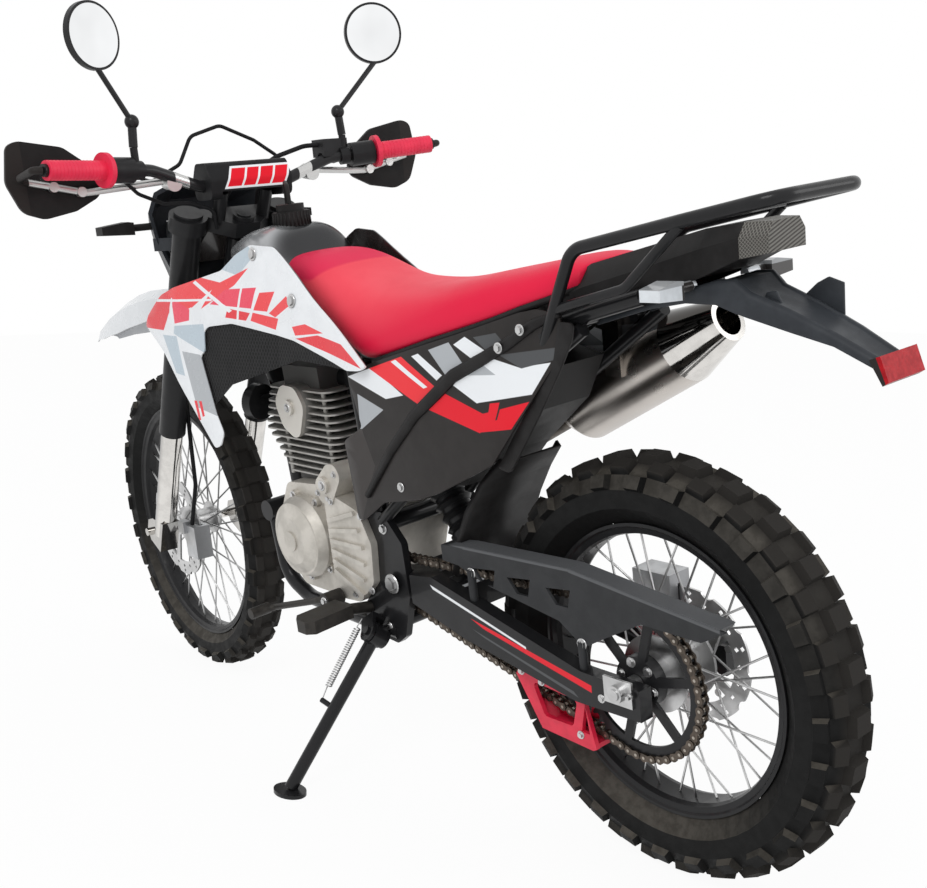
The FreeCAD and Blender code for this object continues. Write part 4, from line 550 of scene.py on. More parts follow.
finishes = {
    "framePaint": dict(darkest, roughness=0.28, coat=0.2, grainDepth=0.05),
    "engineAlloy": dict(colour=(0.60, 0.57, 0.52), second=(0.50, 0.475, 0.43), roughness=0.42,
                        metallic=0.55, grainScale=1400, grainDepth=0.35),
    "finAlloy": dict(colour=(0.40, 0.39, 0.37), second=(0.33, 0.32, 0.30), roughness=0.42,
                     metallic=0.6, grainDepth=0.3, shapes=cylinderShapes),
    "blackAlloy": dict(blackPaint, coat=0.1),
    "blackPlastic": dict(blackMoulding, second=(0.020, 0.019, 0.019)),
    "greyPlastic": dict(colour=(0.036, 0.040, 0.046), second=(0.028, 0.031, 0.036),
                        roughness=0.42, grainScale=1600, grainDepth=0.25, shine=0.18),
    # Painted shade on the white front guard: grey where its faces turn from up and left.
    "whitePlastic": dict(colour=(0.72, 0.74, 0.76), second=(0.69, 0.71, 0.73), roughness=0.26,
                         coat=0.3, grainDepth=0.03, dark=(0.30, 0.31, 0.33)),
    "redPlastic": dict(colour=(0.72, 0.012, 0.05), roughness=0.34, grainDepth=0.1),
    "redRubber": dict(colour=(0.78, 0.02, 0.07), second=(0.70, 0.015, 0.06), roughness=0.48),
    # Painted reflection and painted shade on the tank: silver where faces look forward, left and
    # up, near black elsewhere.
    "tankPaint": dict(colour=(0.40, 0.41, 0.42), second=(0.38, 0.39, 0.40), roughness=0.26,
                      spread=0.03, metallic=0.5, coat=0.3, grainScale=3000, grainDepth=0.06,
                      mottleScale=5, dark=(0.020, 0.021, 0.023), side=(0.5, 0.8, 0.35)),
    # Painted reflection and painted shade on the silencer: lighter where faces look back, left and
    # down, darker elsewhere.
    "brushedSteel": dict(colour=(0.60, 0.56, 0.52), second=(0.55, 0.515, 0.48), roughness=0.26,
                         spread=0.05, metallic=1.0, mottleScale=6, grainScale=500,
                         grainDepth=0.04, stretch=(1.0, 14.0, 1.0), dark=(0.17, 0.155, 0.14),
                         side=(-0.35, 0.5, -0.8)),
    # Painted reflection on the chrome: bright where faces look back, left and down, dark
    # elsewhere.
    "chrome": dict(colour=(0.74, 0.72, 0.69), roughness=0.07, spread=0.04, metallic=1.0,
                   grainDepth=0.0, dark=(0.07, 0.066, 0.062), side=(-0.55, 0.35, -0.55)),
    # Painted reflection and painted shade on steel and silver paint: lighter where faces look up
    # and left, darker elsewhere.
    "steel": dict(colour=(0.62, 0.62, 0.62), roughness=0.28, metallic=1.0, grainDepth=0.1,
                  dark=(0.22, 0.22, 0.22)),
    "silverPaint": dict(colour=(0.55, 0.56, 0.57), roughness=0.36, metallic=0.75,
                        dark=(0.20, 0.20, 0.21)),
    "darkSteel": dict(colour=(0.14, 0.12, 0.10), second=(0.09, 0.08, 0.07), roughness=0.42,
                      metallic=0.85, grainDepth=0.3),
    "blackRubber": dict(darkest, roughness=0.62, grainDepth=0.3),
    "frontRubber": dict(tyreRubber, shapes=frontTyreShapes),
    "rearRubber": dict(tyreRubber, shapes=rearTyreShapes),
    "guardPlastic": dict(blackMoulding, shapes=guardShapes),
    "controlAlloy": dict(blackPaint, shapes=controlShapes),
    "chainGuardPlastic": dict(colour=(0.030, 0.031, 0.033), roughness=0.44, grainScale=1600,
                              grainDepth=0.25, shapes=guardRailShapes, shine=0.18),
    "barPaint": dict(blackPaint, roughness=0.32, coat=0.2, shapes=barShapes),
    "pegSteel": dict(colour=(0.030, 0.028, 0.026), second=(0.045, 0.041, 0.037), metallic=0.3,
                     roughness=0.42, spread=0.1, mottleScale=60, shine=0.18),
    "padRubber": dict(darkest, roughness=0.5, grainDepth=0.2, shapes=padShapes),
    "reflectorLens": dict(colour=(0.40, 0.004, 0.010), second=(0.30, 0.003, 0.008),
                          roughness=0.3, mottleScale=120, shapes=reflectorShapes, shine=0.15),
    "indicatorLens": dict(colour=(0.66, 0.69, 0.72), roughness=0.10, coat=0.6,
                          shapes=indicatorShapes),
    "chainSteel": dict(colour=(0.13, 0.105, 0.085), second=(0.08, 0.066, 0.055), roughness=0.40,
                       metallic=0.9, mottleScale=90, grainDepth=0.2),
    "pinSteel": dict(colour=(0.42, 0.38, 0.33), roughness=0.30, metallic=1.0),
    "lampGlass": dict(colour=(0.66, 0.70, 0.74), roughness=0.10, coat=0.8, dark=coal,
                      side=(1, 0, 0), sideRange=(-0.1, 0.2)),
    "mirrorGlass": dict(colour=(0.96, 0.97, 0.98), roughness=0.01, spread=0.01, metallic=1.0,
                        mottleScale=3, grainDepth=0.0),
    "cowlPaint": dict(cowlCoat, outside=left),
    "rightCowlPaint": dict(cowlCoat, outside=right),
    "panelPaint": dict(colour=coal, roughness=0.34, coat=0.15, grainDepth=0.1,
                       shapes=panelShapes, shine=0.14),
    "armPaint": dict(darkest, roughness=0.30, coat=0.2, shapes=armShapes, shine=0.18),
    "seatCover": dict(colour=(0.84, 0.075, 0.105), second=(0.80, 0.060, 0.090), roughness=0.46,
                      grainScale=1100, grainDepth=0.35, mottleScale=6, shapes=seatShapes,
                      shine=0.18),
}
meshValues = {
    "insertMesh": dict(first=(1, 0, 0.62), second=(-1, 0, 0.62), pitch=7.0, wire=0.38,
                       wireColour=(0.018, 0.018, 0.019), gapColour=(0.003, 0.003, 0.003)),
    "lampMesh": dict(first=(1, 0.3, 0.9), second=(-1, 0.3, 0.9), pitch=3.2, wire=0.30,
                     wireColour=(0.24, 0.23, 0.21), gapColour=(0.07, 0.066, 0.060)),
}


def makeMeshFinish(name, first, second, pitch, wire, wireColour, gapColour):
    # Black moulding with a diamond mesh that stands proud of its gaps; the gaps are painted darker
    # than the wires, as painted shade in the recesses between them.
    material, tree, surface, coordinates = newMaterial(name)
    wires = useGroup(tree, diamondGroup, Vector=coordinates, First=heading(*first) * 1000 / pitch,
                     Second=heading(*second) * 1000 / pitch, Wire=wire)
    mottle = useGroup(tree, mottleGroup, Vector=coordinates, Scale=40.0)
    gloss = calculation(tree, "ADD", calculation(tree, "MULTIPLY", mottle, 0.1), 0.36)
    feedAll(tree, surface, {"Base Color": mixColour(tree, wires, gapColour, wireColour),
                            "Normal": bumpNormal(tree, wires, 0.8, 0.0015),
                            "Roughness": gloss, "Specular IOR Level": 0.15})
    return material


materials = {name: makeFinish(name, **values) for name, values in finishes.items()}
for name, values in meshValues.items():
    materials[name] = makeMeshFinish(name, **values)

# Which nodes get which finish; the rest get blackAlloy.
nodeFinishes = {
    "framePaint": "frame cradle subframe rear_rack side_stand",
    "blackRubber": "control_cables brake_hose intake", "engineAlloy": "engine_cases",
    "finAlloy": "engine_cylinder", "darkSteel": "exhaust_pipe", "brushedSteel": "silencer",
    "chrome": "silencer_tip fork_stanchions", "tankPaint": "fuel_tank",
    "blackPlastic": "fuel_cap tail_fairing inner_fender air_box front_indicators",
    "cowlPaint": "left_shroud right_shroud", "insertMesh": "shroud_inserts",
    "panelPaint": "left_side_panel right_side_panel", "lampMesh": "tail_lamp",
    "greyPlastic": "rear_fender headlight_mask", "reflectorLens": "reflector",
    "indicatorLens": "rear_indicators", "armPaint": "swingarm",
    "steel": "rear_axle stand_spring front_hub rear_hub", "chainGuardPlastic": "chain_guard",
    "redPlastic": "chain_guide", "chainSteel": "drive_chain", "pegSteel": "foot_controls",
    "silverPaint": "rear_caliper front_caliper", "barPaint": "handlebar", "redRubber": "grips",
    "padRubber": "bar_pad", "controlAlloy": "bar_controls", "guardPlastic": "handguards",
    "whitePlastic": "front_fender", "lampGlass": "headlamp", "frontRubber": "front_tyre",
    "rearRubber": "rear_tyre",
}
finishOf = {name: finish for finish, names in nodeFinishes.items() for name in names.split()}
for name, piece in nodes.items():
    piece.data.materials.clear()
    piece.data.materials.append(materials[finishOf.get(name, "blackAlloy")])
print("materials made")

# Seat: a crowned foam pad under a tight cover, narrow where it climbs onto the tank

seatValues = {
    "stations": [
        (856, 958, 940, 44), (852, 962, 934, 52), (800, 971, 914, 74), (760, 974, 898, 84),
        (722, 975, 884, 92), (685, 968, 872, 98), (640, 953, 861, 101), (588, 935, 824, 106),
        (548, 926, 798, 109), (512, 922, 801, 111), (431, 919, 821, 115), (352, 926, 842, 116),
        (278, 937, 860, 115), (208, 947, 878, 110), (141, 956, 898, 103), (82, 966, 914, 93),
        (48, 960, 924, 80), (46, 958, 926, 78),
    ],
    "section": [(0.90, 0, 0.0, 0), (1.0, 0, 0.10, 0), (1.0, 0, 0.40, 0), (0.92, 0, 0.74, 0),
                (0.70, 0, 0.95, 0), (0.36, 0, 1.02, 0), (0.0, 0, 1.03, 0)],
    "baseSection": [(1, 1.5, 0, 7), (1, 1.5, 0, -2), (1, -6, 0, -3)],
    "smoothing": 2, "baseFrom": 9, "baseThickness": 1.5,
}


def makeSeat():
    bm = bmesh.new()
    loops = []
    for x, top, bottom, half in seatValues["stations"]:
        points = halfProfile(seatValues["section"], top, bottom, half)
        loops.append(section(bm, x, points + mirrored(points[:-1])))
    loft(bm, loops)
    piece = finished("seat_cover", bm, "chassis", "seatCover")
    subdivided(piece, seatValues["smoothing"])
    return piece


seat = makeSeat()
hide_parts("seat")
print("seat made")

# Mirror glasses

mirrorValues = {"radius": 53.5, "centres": ((1000, 264, 1371), (1000, -322, 1371)),
                "toeIn": 20.0, "proud": 5.9}


def makeMirrorGlass():
    bm = bmesh.new()
    toe, proud = math.radians(mirrorValues["toeIn"]), mirrorValues["proud"]
    for x, y, z in mirrorValues["centres"]:
        facing = (-math.cos(toe), -math.copysign(math.sin(toe), y), 0)
        spot = spotTurned((x + facing[0] * proud, y + facing[1] * proud, z), facing, True)
        bmesh.ops.create_circle(bm, cap_ends=True, segments=64,
                                radius=mirrorValues["radius"] / 1000, matrix=spot)
    finished("mirror_glass", bm, "front_end", "mirrorGlass", False)


makeMirrorGlass()

# Bodywork: cowls, left side panel, rear cover, tank, plate tongue and wheel guard

shellValues = {
    "cowlOutline": [
        (1184, 850), (1172, 868), (1110, 911), (1066, 925), (914, 955), (868, 983), (825, 999),
        (760, 994), (737, 979), (493, 801), (513, 793), (549, 791), (705, 834), (886, 860),
        (960, 853), (974, 845), (974, 808), (989, 798), (946, 690), (926, 656), (936, 632),
        (954, 624), (1119, 803)],
    "cowlPlan": [(470, 134), (600, 130), (760, 134), (900, 150), (1060, 168), (1230, 172)],
    "cowlLean": 0.14, "cowlBase": 850,
    "panelOutline": [
        (573, 778), (512, 801), (431, 822), (352, 842), (278, 860), (208, 878), (141, 896),
        (104, 902), (62, 894), (62, 846), (74, 828), (108, 790), (168, 720), (216, 664),
        (350, 602), (403, 584), (500, 566), (566, 524), (584, 524), (603, 662), (545, 692)],
    "panelPlan": [(20, 112), (200, 126), (400, 130), (620, 126)],
    "panelLean": 0.04, "panelBase": 700,
    "thickness": 4.0, "corner": 7.0, "cell": 24.0, "coverAt": 112.0,
    "edge": 1.4, "edgeAngle": 50, "coverOutline": [
        (62, 886), (34, 884), (38, 862), (70, 812), (122, 742), (166, 686), (196, 650), (222, 655),
        (176, 714), (112, 790), (78, 830)],
}
tankValues = {
    "stations": [
        (1044, 980, 962, 24, 36), (1012, 992, 948, 38, 52), (965, 1010, 936, 48, 68),
        (925, 1019, 925, 58, 94), (885, 1024, 912, 64, 103), (838, 1024, 900, 66, 105),
        (818, 1010, 895, 64, 105), (800, 976, 890, 62, 104), (780, 946, 884, 60, 104),
        (720, 918, 872, 60, 102), (645, 902, 890, 56, 94)],
    "sides": [(0.9, 0.0), (1.02, 0.25), (1.0, 0.6)], "shoulder": (14, 0.88), "crown": (0.75, 1),
    "smoothing": 2,
}
tongueValues = {
    "stations": [
        (40, 886, 872, 58), (-60, 911, 897, 58), (-120, 925, 906, 56), (-165, 936, 904, 50),
        (-192, 937, 894, 48), (-212, 920, 887, 44), (-270, 898, 871, 40), (-330, 871, 855, 35),
        (-386, 842, 828, 30)],
    "tabs": [(-37, -33, [(-236, 900), (-262, 921), (-279, 929), (-301, 922), (-301, 872)]),
             (17, 21, [(-218, 905), (-224, 917), (-239, 919), (-251, 895)])],
    "outer": [(1, 0, 0, 0), (1, 0, 1, -7), (1, -4, 1, -1.5), (1, -10, 1, 0), (1, -13, 1, -3)],
    "inner": [(1, -3, 1, -9), (1, -3, 0, 0)], "edge": 1.2, "edgeAngle": 40,
}
guardValues = {"radius": 402, "rim": 12, "wall": 4, "rimWall": 5,
               "stations": [(14, 84), (23, 84), (32, 82), (41, 76), (49, 66)]}


def alongPlan(plan, x):
    spots = sorted(plan)
    for near, far in zip(spots, spots[1:]):
        if x <= far[0]:
            break
    return near[1] + (far[1] - near[1]) * (x - near[0]) / (far[0] - near[0])


def cowlFace(x, z):
    # How far out the cowl's skin stands; the wing swells a little above its lower edge.
    swell = 5.0 * max(0.0, 1 - abs(z - 900) / 50)
    return (alongPlan(shellValues["cowlPlan"], x) + swell
            - shellValues["cowlLean"] * (z - shellValues["cowlBase"]))


def panelFace(x, z):
    return (alongPlan(shellValues["panelPlan"], x)
            - shellValues["panelLean"] * (z - shellValues["panelBase"]))


def softCorners(outline, reach):
    # Each corner of a closed outline is cut back and rounded.
    points = []
    for index, corner in enumerate(outline):
        before = Vector(outline[index - 1])
        after = Vector(outline[(index + 1) % len(outline)])
        middle = Vector(corner)
        start = middle + (before - middle) * min(0.45, reach / (before - middle).length)
        end = middle + (after - middle) * min(0.45, reach / (after - middle).length)
        for share in (0.0, 0.33, 0.67, 1.0):
            points.append((1 - share) ** 2 * start + 2 * share * (1 - share) * middle
                          + share ** 2 * end)
    return points


def makeShell(name, outline, skin, side, finish):
    bm = bmesh.new()
    points = softCorners(outline, shellValues["corner"])
    bm.faces.new([bm.verts.new((p.x, 0, p.y)) for p in points])
    bm.normal_update()
    bmesh.ops.triangulate(bm, faces=bm.faces[:])
    for axis, normal in ((0, ahead), (2, upward)):
        low = min(vert.co[axis] for vert in bm.verts)
        high = max(vert.co[axis] for vert in bm.verts)
        for step in range(1, int((high - low) / shellValues["cell"])):
            at = Vector(normal) * (low + shellValues["cell"] * step)
            bmesh.ops.bisect_plane(bm, geom=bm.verts[:] + bm.edges[:] + bm.faces[:],
                                   plane_co=at, plane_no=normal)
    bmesh.ops.recalc_face_normals(bm, faces=bm.faces)
    for vert in bm.verts:
        vert.co = place(vert.co.x, side * skin(vert.co.x, vert.co.z), vert.co.z)
    bm.normal_update()
    facing = heading(0, side, 0)
    if sum(face.normal.dot(facing) * face.calc_area() for face in bm.faces) < 0:
        bmesh.ops.reverse_faces(bm, faces=bm.faces[:])
    piece = linked(name, meshOf(name, bm), "chassis", finish)
    thickened(piece, shellValues["thickness"])
    bevelled(piece, shellValues["edge"], shellValues["edgeAngle"])
    return piece


def makeTank():
    # The tank's skin drops behind the cap, where the seat's nose climbs over it.
    bm = bmesh.new()
    loops = []
    for x, top, bottom, halfTop, half in tankValues["stations"]:
        rise = top - bottom
        points = [(half * wide, bottom + rise * high) for wide, high in tankValues["sides"]]
        (out, high), (wide, crown) = tankValues["shoulder"], tankValues["crown"]
        points += [(halfTop + out, bottom + rise * high), (halfTop * wide, top), (0, top + crown)]
        loops.append(section(bm, x, points + mirrored(points[:-1])))
    loft(bm, loops)
    piece = finished("tank_skin", bm, "chassis", "tankPaint")
    subdivided(piece, tankValues["smoothing"])
    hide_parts("fuel_tank")


def coverFace(x, z):
    return shellValues["coverAt"]


def makeTongue():
    # A channel with soft edges that tapers from the tail to the reflector, with two tabs.
    bm = bmesh.new()
    loops = []
    for x, top, bottom, half in tongueValues["stations"]:
        outer, inner = (halfProfile(tongueValues[part], top, bottom, half)
                        for part in ("outer", "inner"))
        loops.append(section(bm, x, outer + mirrored(outer) + mirrored(inner) + inner))
    loft(bm, loops)
    for low, high, outline in tongueValues["tabs"]:
        loft(bm, [sideLoop(bm, high, outline), sideLoop(bm, low, outline)])
    piece = finished("plate_tongue", bm, "chassis", "greyPlastic")
    bevelled(piece, tongueValues["edge"], tongueValues["edgeAngle"])
    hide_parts("rear_fender")


def makeWheelGuard():
    # The curved guard before the tyre, narrowing towards its top, with a rolled edge.
    bm = bmesh.new()
    loops = []
    for degrees, half in guardValues["stations"]:
        turn = math.radians(degrees)
        within = half - guardValues["rimWall"]
        points = [(half, 0), (half, guardValues["rim"]), (within, guardValues["rim"]),
                  (within, guardValues["wall"])]
        loop = []
        for y, reach in points + mirrored(points):
            radius = guardValues["radius"] + reach
            loop += section(bm, radius * math.cos(turn),
                            [(y, rearAxle[1] + radius * math.sin(turn))])
        loops.append(loop)
    loft(bm, loops)
    piece = finished("wheel_guard", bm, "chassis", "blackPlastic")
    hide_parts("inner_fender")


for side, label, coat in ((1, "left", "cowlPaint"), (-1, "right", "rightCowlPaint")):
    makeShell(label + "_cowl", shellValues["cowlOutline"], cowlFace, side,
                             coat)
    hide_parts(label + "_shroud")
sidePanel = makeShell("left_number_panel", shellValues["panelOutline"], panelFace, 1,
                      "panelPaint")
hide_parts("left_side_panel")
makeShell("rear_side_cover", shellValues["coverOutline"], coverFace, 1,
          "blackPlastic")
makeTongue()
makeWheelGuard()
makeTank()
print("shells made")

# Bolt heads, all on one piece for each body: place, facing, radius and height in mm

boltValues = {"washer": 1.45, "washerDepth": 0.25, "sides": 6, "washerSides": 20, "taper": 0.94}


def ringOfBolts(centre, y, reach, count, first, facing, radius, height):
    # Bolts at one reach from an axle, the first one at an angle in radians.
    spots = []
    for index in range(count):
        turn = first + 2 * math.pi * index / count
        spots.append(((centre[0] + reach * math.cos(turn), y, centre[1] + reach * math.sin(turn)),
                      facing, radius, height))
    return spots


chassisBolts = [
    ((819, 122.5, 983), (0, 1, 0.14), 8.5, 3.5), ((702, 130.5, 903), (0, 1, 0.14), 8.5, 3.5),
    ((448, 134, 600), left, 6, 3.5), ((128, 125, 874), left, 6, 4), ((176, 127, 846), left, 6, 4),
    ((330, 101.5, 460), left, 7, 4), ((84, 101.5, 392), left, 7, 4), ((704, 124, 566), left, 7, 3),
    ((655, 84, 588), left, 9, 3), ((700, 158, 352), left, 6, 4), ((818, 101, 696), left, 6, 3),
    ((606, 116, 520), left, 5, 4), ((600, 116, 380), left, 5, 4), ((654, 116, 362), left, 5, 4),
    ((700, 116, 540), left, 5, 4), ((668, 118, 590), left, 4.5, 4),
    ((728, 118, 548), left, 4.5, 4), ((690, 118, 536), left, 4.5, 4),
    ((560, 102.5, 500), left, 7, 5), ((545, 110, 402), left, 13, 7),
    ((545, -110, 402), right, 13, 7), ((580, 102.5, 310), left, 6, 4),
    ((40, 113.5, 318), left, 5, 3), ((-24, 117.5, 340), left, 4, 8),
    ((110, 96.5, 230), left, 5, 4), ((190, 96.5, 300), left, 5, 4), ((236, 96.5, 308), left, 5, 4),
]
chassisBolts += ringOfBolts((809, 447), 104, 84, 7, 0.3, left, 5, 4)
wheelBolts = ringOfBolts(rearAxle, 75.6, 33, 6, 0.24, left, 6, 4.5)
wheelBolts += ringOfBolts(rearAxle, -58.2, 70, 5, 0.3, right, 4.5, 3)
frontWheelBolts = ringOfBolts(frontAxle, 54.2, 70, 5, 0.3, left, 4.5, 3)


def addBolt(bm, at, facing, radius, height, steered=False):
    spot = spotTurned(at, facing, steered)
    low = height * boltValues["washerDepth"]
    taper = boltValues["taper"]
    addDrum(bm, spot, radius * boltValues["washer"], 0.0, low, boltValues["washerSides"], taper)
    addDrum(bm, spot, radius, low, height, boltValues["sides"], taper)


def makeBolts(name, body, bolts, steered=False):
    bm = bmesh.new()
    for at, facing, radius, height in bolts:
        addBolt(bm, at, facing, radius, height, steered)
    finished(name, bm, body, "steel", False)


makeBolts("chassis_bolts", "chassis", chassisBolts)
makeBolts("rear_wheel_bolts", "rear_wheel", wheelBolts)
makeBolts("front_wheel_bolts", "front_wheel", frontWheelBolts, True)
print("bolts made")

# Chain: plates, rollers and pins along the closed loop

chainValues = {
    "pitch": 15.875, "rearTeeth": 48, "frontTeeth": 13, "frontAt": (618.0, 408.0), "plane": 72.5,
    "links": 110, "plateHigh": 6.9, "waist": 4.6, "thickness": 1.7, "innerFace": 4.0,
    "outerFace": 6.1, "roller": (4.6, 4.0, 12), "pin": (2.6, 8.4, 10),
}


def chainStations():
    # Points of the pitch line, evenly spaced.
    values = chainValues
    big, small = (values["pitch"] / (2 * math.sin(math.pi / teeth))
                  for teeth in (values["rearTeeth"], values["frontTeeth"]))
    farX, farZ = values["frontAt"]
    apart = math.hypot(farX - rearAxle[0], farZ - rearAxle[1])
    slope = math.atan2(farZ - rearAxle[1], farX - rearAxle[0])
    wrap = math.acos((big - small) / apart)
    span = apart * math.sin(wrap)
    pieces = [(rearAxle, big, slope + wrap, 2 * (math.pi - wrap), big * 2 * (math.pi - wrap)),
              (rearAxle, big, slope - wrap, 0.0, span),
              (values["frontAt"], small, slope - wrap, 2 * wrap, small * 2 * wrap),
              (values["frontAt"], small, slope + wrap, 0.0, span)]
    total = sum(piece[4] for piece in pieces)
    stations = []
    for index in range(values["links"]):
        run = total * index / values["links"]
        for centre, reach, first, sweep, length in pieces:
            if run <= length:
                break
            run -= length
        turn = first + sweep * run / length
        along = 0.0 if sweep else run
        stations.append((centre[0] + reach * math.cos(turn) - along * math.sin(turn),
                         centre[1] + reach * math.sin(turn) + along * math.cos(turn)))
    return stations


def addPlate(bm, start, end, low, high):
    # One figure-of-eight plate between two pins.
    along = math.atan2(end[1] - start[1], end[0] - start[0])
    tall = chainValues["plateHigh"]
    outline = []
    for centre, first in ((end, -90), (start, 90)):
        for step in range(7):
            turn = along + math.radians(first + 30 * step)
            outline.append((centre[0] + tall * math.cos(turn), centre[1] + tall * math.sin(turn)))
        middle = ((start[0] + end[0]) / 2, (start[1] + end[1]) / 2)
        side = along + math.radians(90 if first < 0 else -90)
        outline.append((middle[0] + chainValues["waist"] * math.cos(side),
                        middle[1] + chainValues["waist"] * math.sin(side)))
    loft(bm, [sideLoop(bm, chainValues["plane"] + face, outline) for face in (low, high)])


def makeChain():
    bm = bmesh.new()
    stations = chainStations()
    for index, start in enumerate(stations):
        end = stations[(index + 1) % len(stations)]
        face = chainValues["outerFace"] if index % 2 else chainValues["innerFace"]
        thick = chainValues["thickness"]
        addPlate(bm, start, end, face, face + thick)
        addPlate(bm, start, end, -face - thick, -face)
        spot = spotTurned((start[0], chainValues["plane"], start[1]), left)
        for part in ("roller", "pin"):
            radius, reach, sides = chainValues[part]
            addDrum(bm, spot, radius, -reach, reach, sides, 1.0, 1)
    piece = finished("chain_links", bm, "chassis", "chainSteel", False)
    piece.data.materials.append(materials["pinSteel"])
    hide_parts("drive_chain")


makeChain()
print("chain made")

# Return spring of the stand, from the bracket's pin to the leg's

standValues = {
    "hinge": (592, 128, 300), "foot": (647, 322.664, 53.488), "folded": (-0.98, 0.13, 0.13),
    "pinShare": 0.48, "pinReach": 30.0, "pinLift": 16.0, "topReach": 22.0, "topLift": 31.0,
    "coilRadius": 5.6, "wireRadius": 1.3, "turns": 26, "steps": 8, "hookStart": 0.12,
    "coilShare": 0.74, "endGap": 5.2,
}


def springEnds():
    hinge, foot = Vector(standValues["hinge"]), Vector(standValues["foot"])
    folded = Vector(standValues["folded"]).normalized()
    down = (foot - hinge).normalized()
    axis = down.cross(folded).normalized()
    away = -(down + folded).normalized()
    root = hinge + (foot - hinge) * standValues["pinShare"]
    tip = root + axis.cross(-down).normalized() * standValues["pinReach"]
    return (hinge + away * standValues["topReach"] + axis * standValues["topLift"],
            tip + axis * standValues["pinLift"])


def makeStandSpring():
    top, bottom = springEnds()
    run = bottom - top
    run = run * (1 - standValues["endGap"] / run.length)
    along = run.normalized()
    first = along.cross(Vector((0, 0, 1))).normalized()
    second = along.cross(first)
    points = [top]
    steps = standValues["steps"] * standValues["turns"]
    for index in range(steps + 1):
        turn = 2 * math.pi * index / standValues["steps"]
        share = standValues["hookStart"] + standValues["coilShare"] * index / steps
        points.append(top + run * share + (first * math.cos(turn) + second * math.sin(turn))
                      * standValues["coilRadius"])
    points.append(top + run)
    curve = bpy.data.curves.new("stand_spring_wire", "CURVE")
    curve.dimensions = "3D"
    curve.bevel_depth = standValues["wireRadius"] / 1000
    curve.bevel_resolution = 1
    curve.use_fill_caps = True
    line = curve.splines.new("POLY")
    line.points.add(len(points) - 1)
    for spot, point in zip(line.points, points):
        spot.co = (*place(*point), 1)
    made = bpy.data.objects.new("spring_wire", curve)
    bpy.context.scene.collection.objects.link(made)
    bpy.context.view_layer.update()
    mesh = bpy.data.meshes.new_from_object(made)
    bpy.data.objects.remove(made)
    mesh.name = "stand_spring_coil"
    for face in mesh.polygons:
        face.use_smooth = True
    mesh.materials.clear()
    piece = linked("stand_spring_coil", mesh, None, "steel")
    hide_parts("stand_spring")
    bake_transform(piece)


makeStandSpring()
print("stand spring made")

# Raised strut across the left side panel

strutValues = {
    "line": [(62, 896), (112, 880), (161, 853), (216, 828), (289, 797), (332, 767), (390, 728),
             (465, 660), (546, 572)],
    "halfWidth": [5, 9, 10, 11, 12, 12, 11, 9, 6], "height": 7.0, "sink": 3.0,
}


def makeStrut():
    bm = bmesh.new()
    line = strutValues["line"]
    sink, high = strutValues["sink"], strutValues["height"]
    profile = [(-1.0, -sink), (-0.75, high * 0.8), (-0.3, high)]
    profile += mirrored(profile)
    loops = []
    for index, (x, z) in enumerate(line):
        before, after = line[max(index - 1, 0)], line[min(index + 1, len(line) - 1)]
        along = Vector((after[0] - before[0], after[1] - before[1])).normalized()
        side = Vector((-along.y, along.x)) * strutValues["halfWidth"][index]
        skin = panelFace(x, z)
        loops.append([bm.verts.new(place(x + side.x * share, skin + rise, z + side.y * share))
                      for share, rise in profile])
    loft(bm, loops)
    finished("panel_strut", bm, "chassis", "blackPlastic")


makeStrut()

# Ribs round the filler cap, rings on the grips and a black base under the seat's edge

ribValues = {"capAt": (862, 0, 1019), "radius": 34.2, "low": 1.0, "high": 25.0, "ribs": 28,
             "ribRadius": 2.0, "sides": 8, "taper": 0.8}
gripValues = {"outer": (948.0, 408.0, 1150.0), "inner": (1001.0, 190.0, 1138.0), "rings": 15,
              "pitch": 7.2, "start": 10.0, "radius": 17.4, "ringHigh": 5.2, "sides": 32,
              "taper": 0.4}


def makeCapRibs():
    bm = bmesh.new()
    x, y, z = ribValues["capAt"]
    for index in range(ribValues["ribs"]):
        turn = 2 * math.pi * index / ribValues["ribs"]
        spot = spotTurned((x + ribValues["radius"] * math.cos(turn),
                           y + ribValues["radius"] * math.sin(turn), z), upward)
        addDrum(bm, spot, ribValues["ribRadius"], ribValues["low"], ribValues["high"],
                ribValues["sides"], ribValues["taper"])
    finished("cap_ribs", bm, "chassis", "blackPlastic")


def makeGripRings():
    bm = bmesh.new()
    for side in (1, -1):
        end, start = (Vector((x, side * y, z))
                      for x, y, z in (gripValues["outer"], gripValues["inner"]))
        along = (start - end).normalized()
        for index in range(gripValues["rings"]):
            at = end + along * (gripValues["start"] + gripValues["pitch"] * index)
            spot = spotTurned(at, along, True)
            addDrum(bm, spot, gripValues["radius"], 0.0, gripValues["ringHigh"],
                    gripValues["sides"], gripValues["taper"])
    finished("grip_rings", bm, "front_end", "redRubber", False)


def makeSeatBase():
    bm = bmesh.new()
    loops = []
    for x, top, bottom, half in seatValues["stations"][seatValues["baseFrom"]:]:
        points = halfProfile(seatValues["baseSection"], top, bottom, half)
        loops.append(section(bm, x, points + mirrored(points)))
    loft(bm, loops, False)
    piece = finished("seat_base", bm, "chassis", "blackPlastic")
    thickened(piece, seatValues["baseThickness"])


makeCapRibs()
makeGripRings()
makeSeatBase()
print("small parts made")

# Stage, light and camera

stageValues = {"floorSize": 30.0, "floorColour": (0.92, 0.92, 0.92), "whiteShare": 0.94}
lightValues = {"world": 0.80, "worldColour": (0.98, 0.99, 1.0), "aim": (0, 0, 0.6),
               "keyEnergy": 95.0, "keySize": 2.2, "keyAt": (-2.6, 3.4, 4.2),
               "rimEnergy": 30.0, "rimSize": 2.0, "rimAt": (-3.6, -2.6, 2.6)}
cameraValues = {"at": (-1.93877, 1.34753, 0.94025), "azimuth": 228.468, "elevation": 11.662,
                "roll": 0.095, "lens": 49.82, "shiftX": -0.0258, "shiftY": 0.0907}


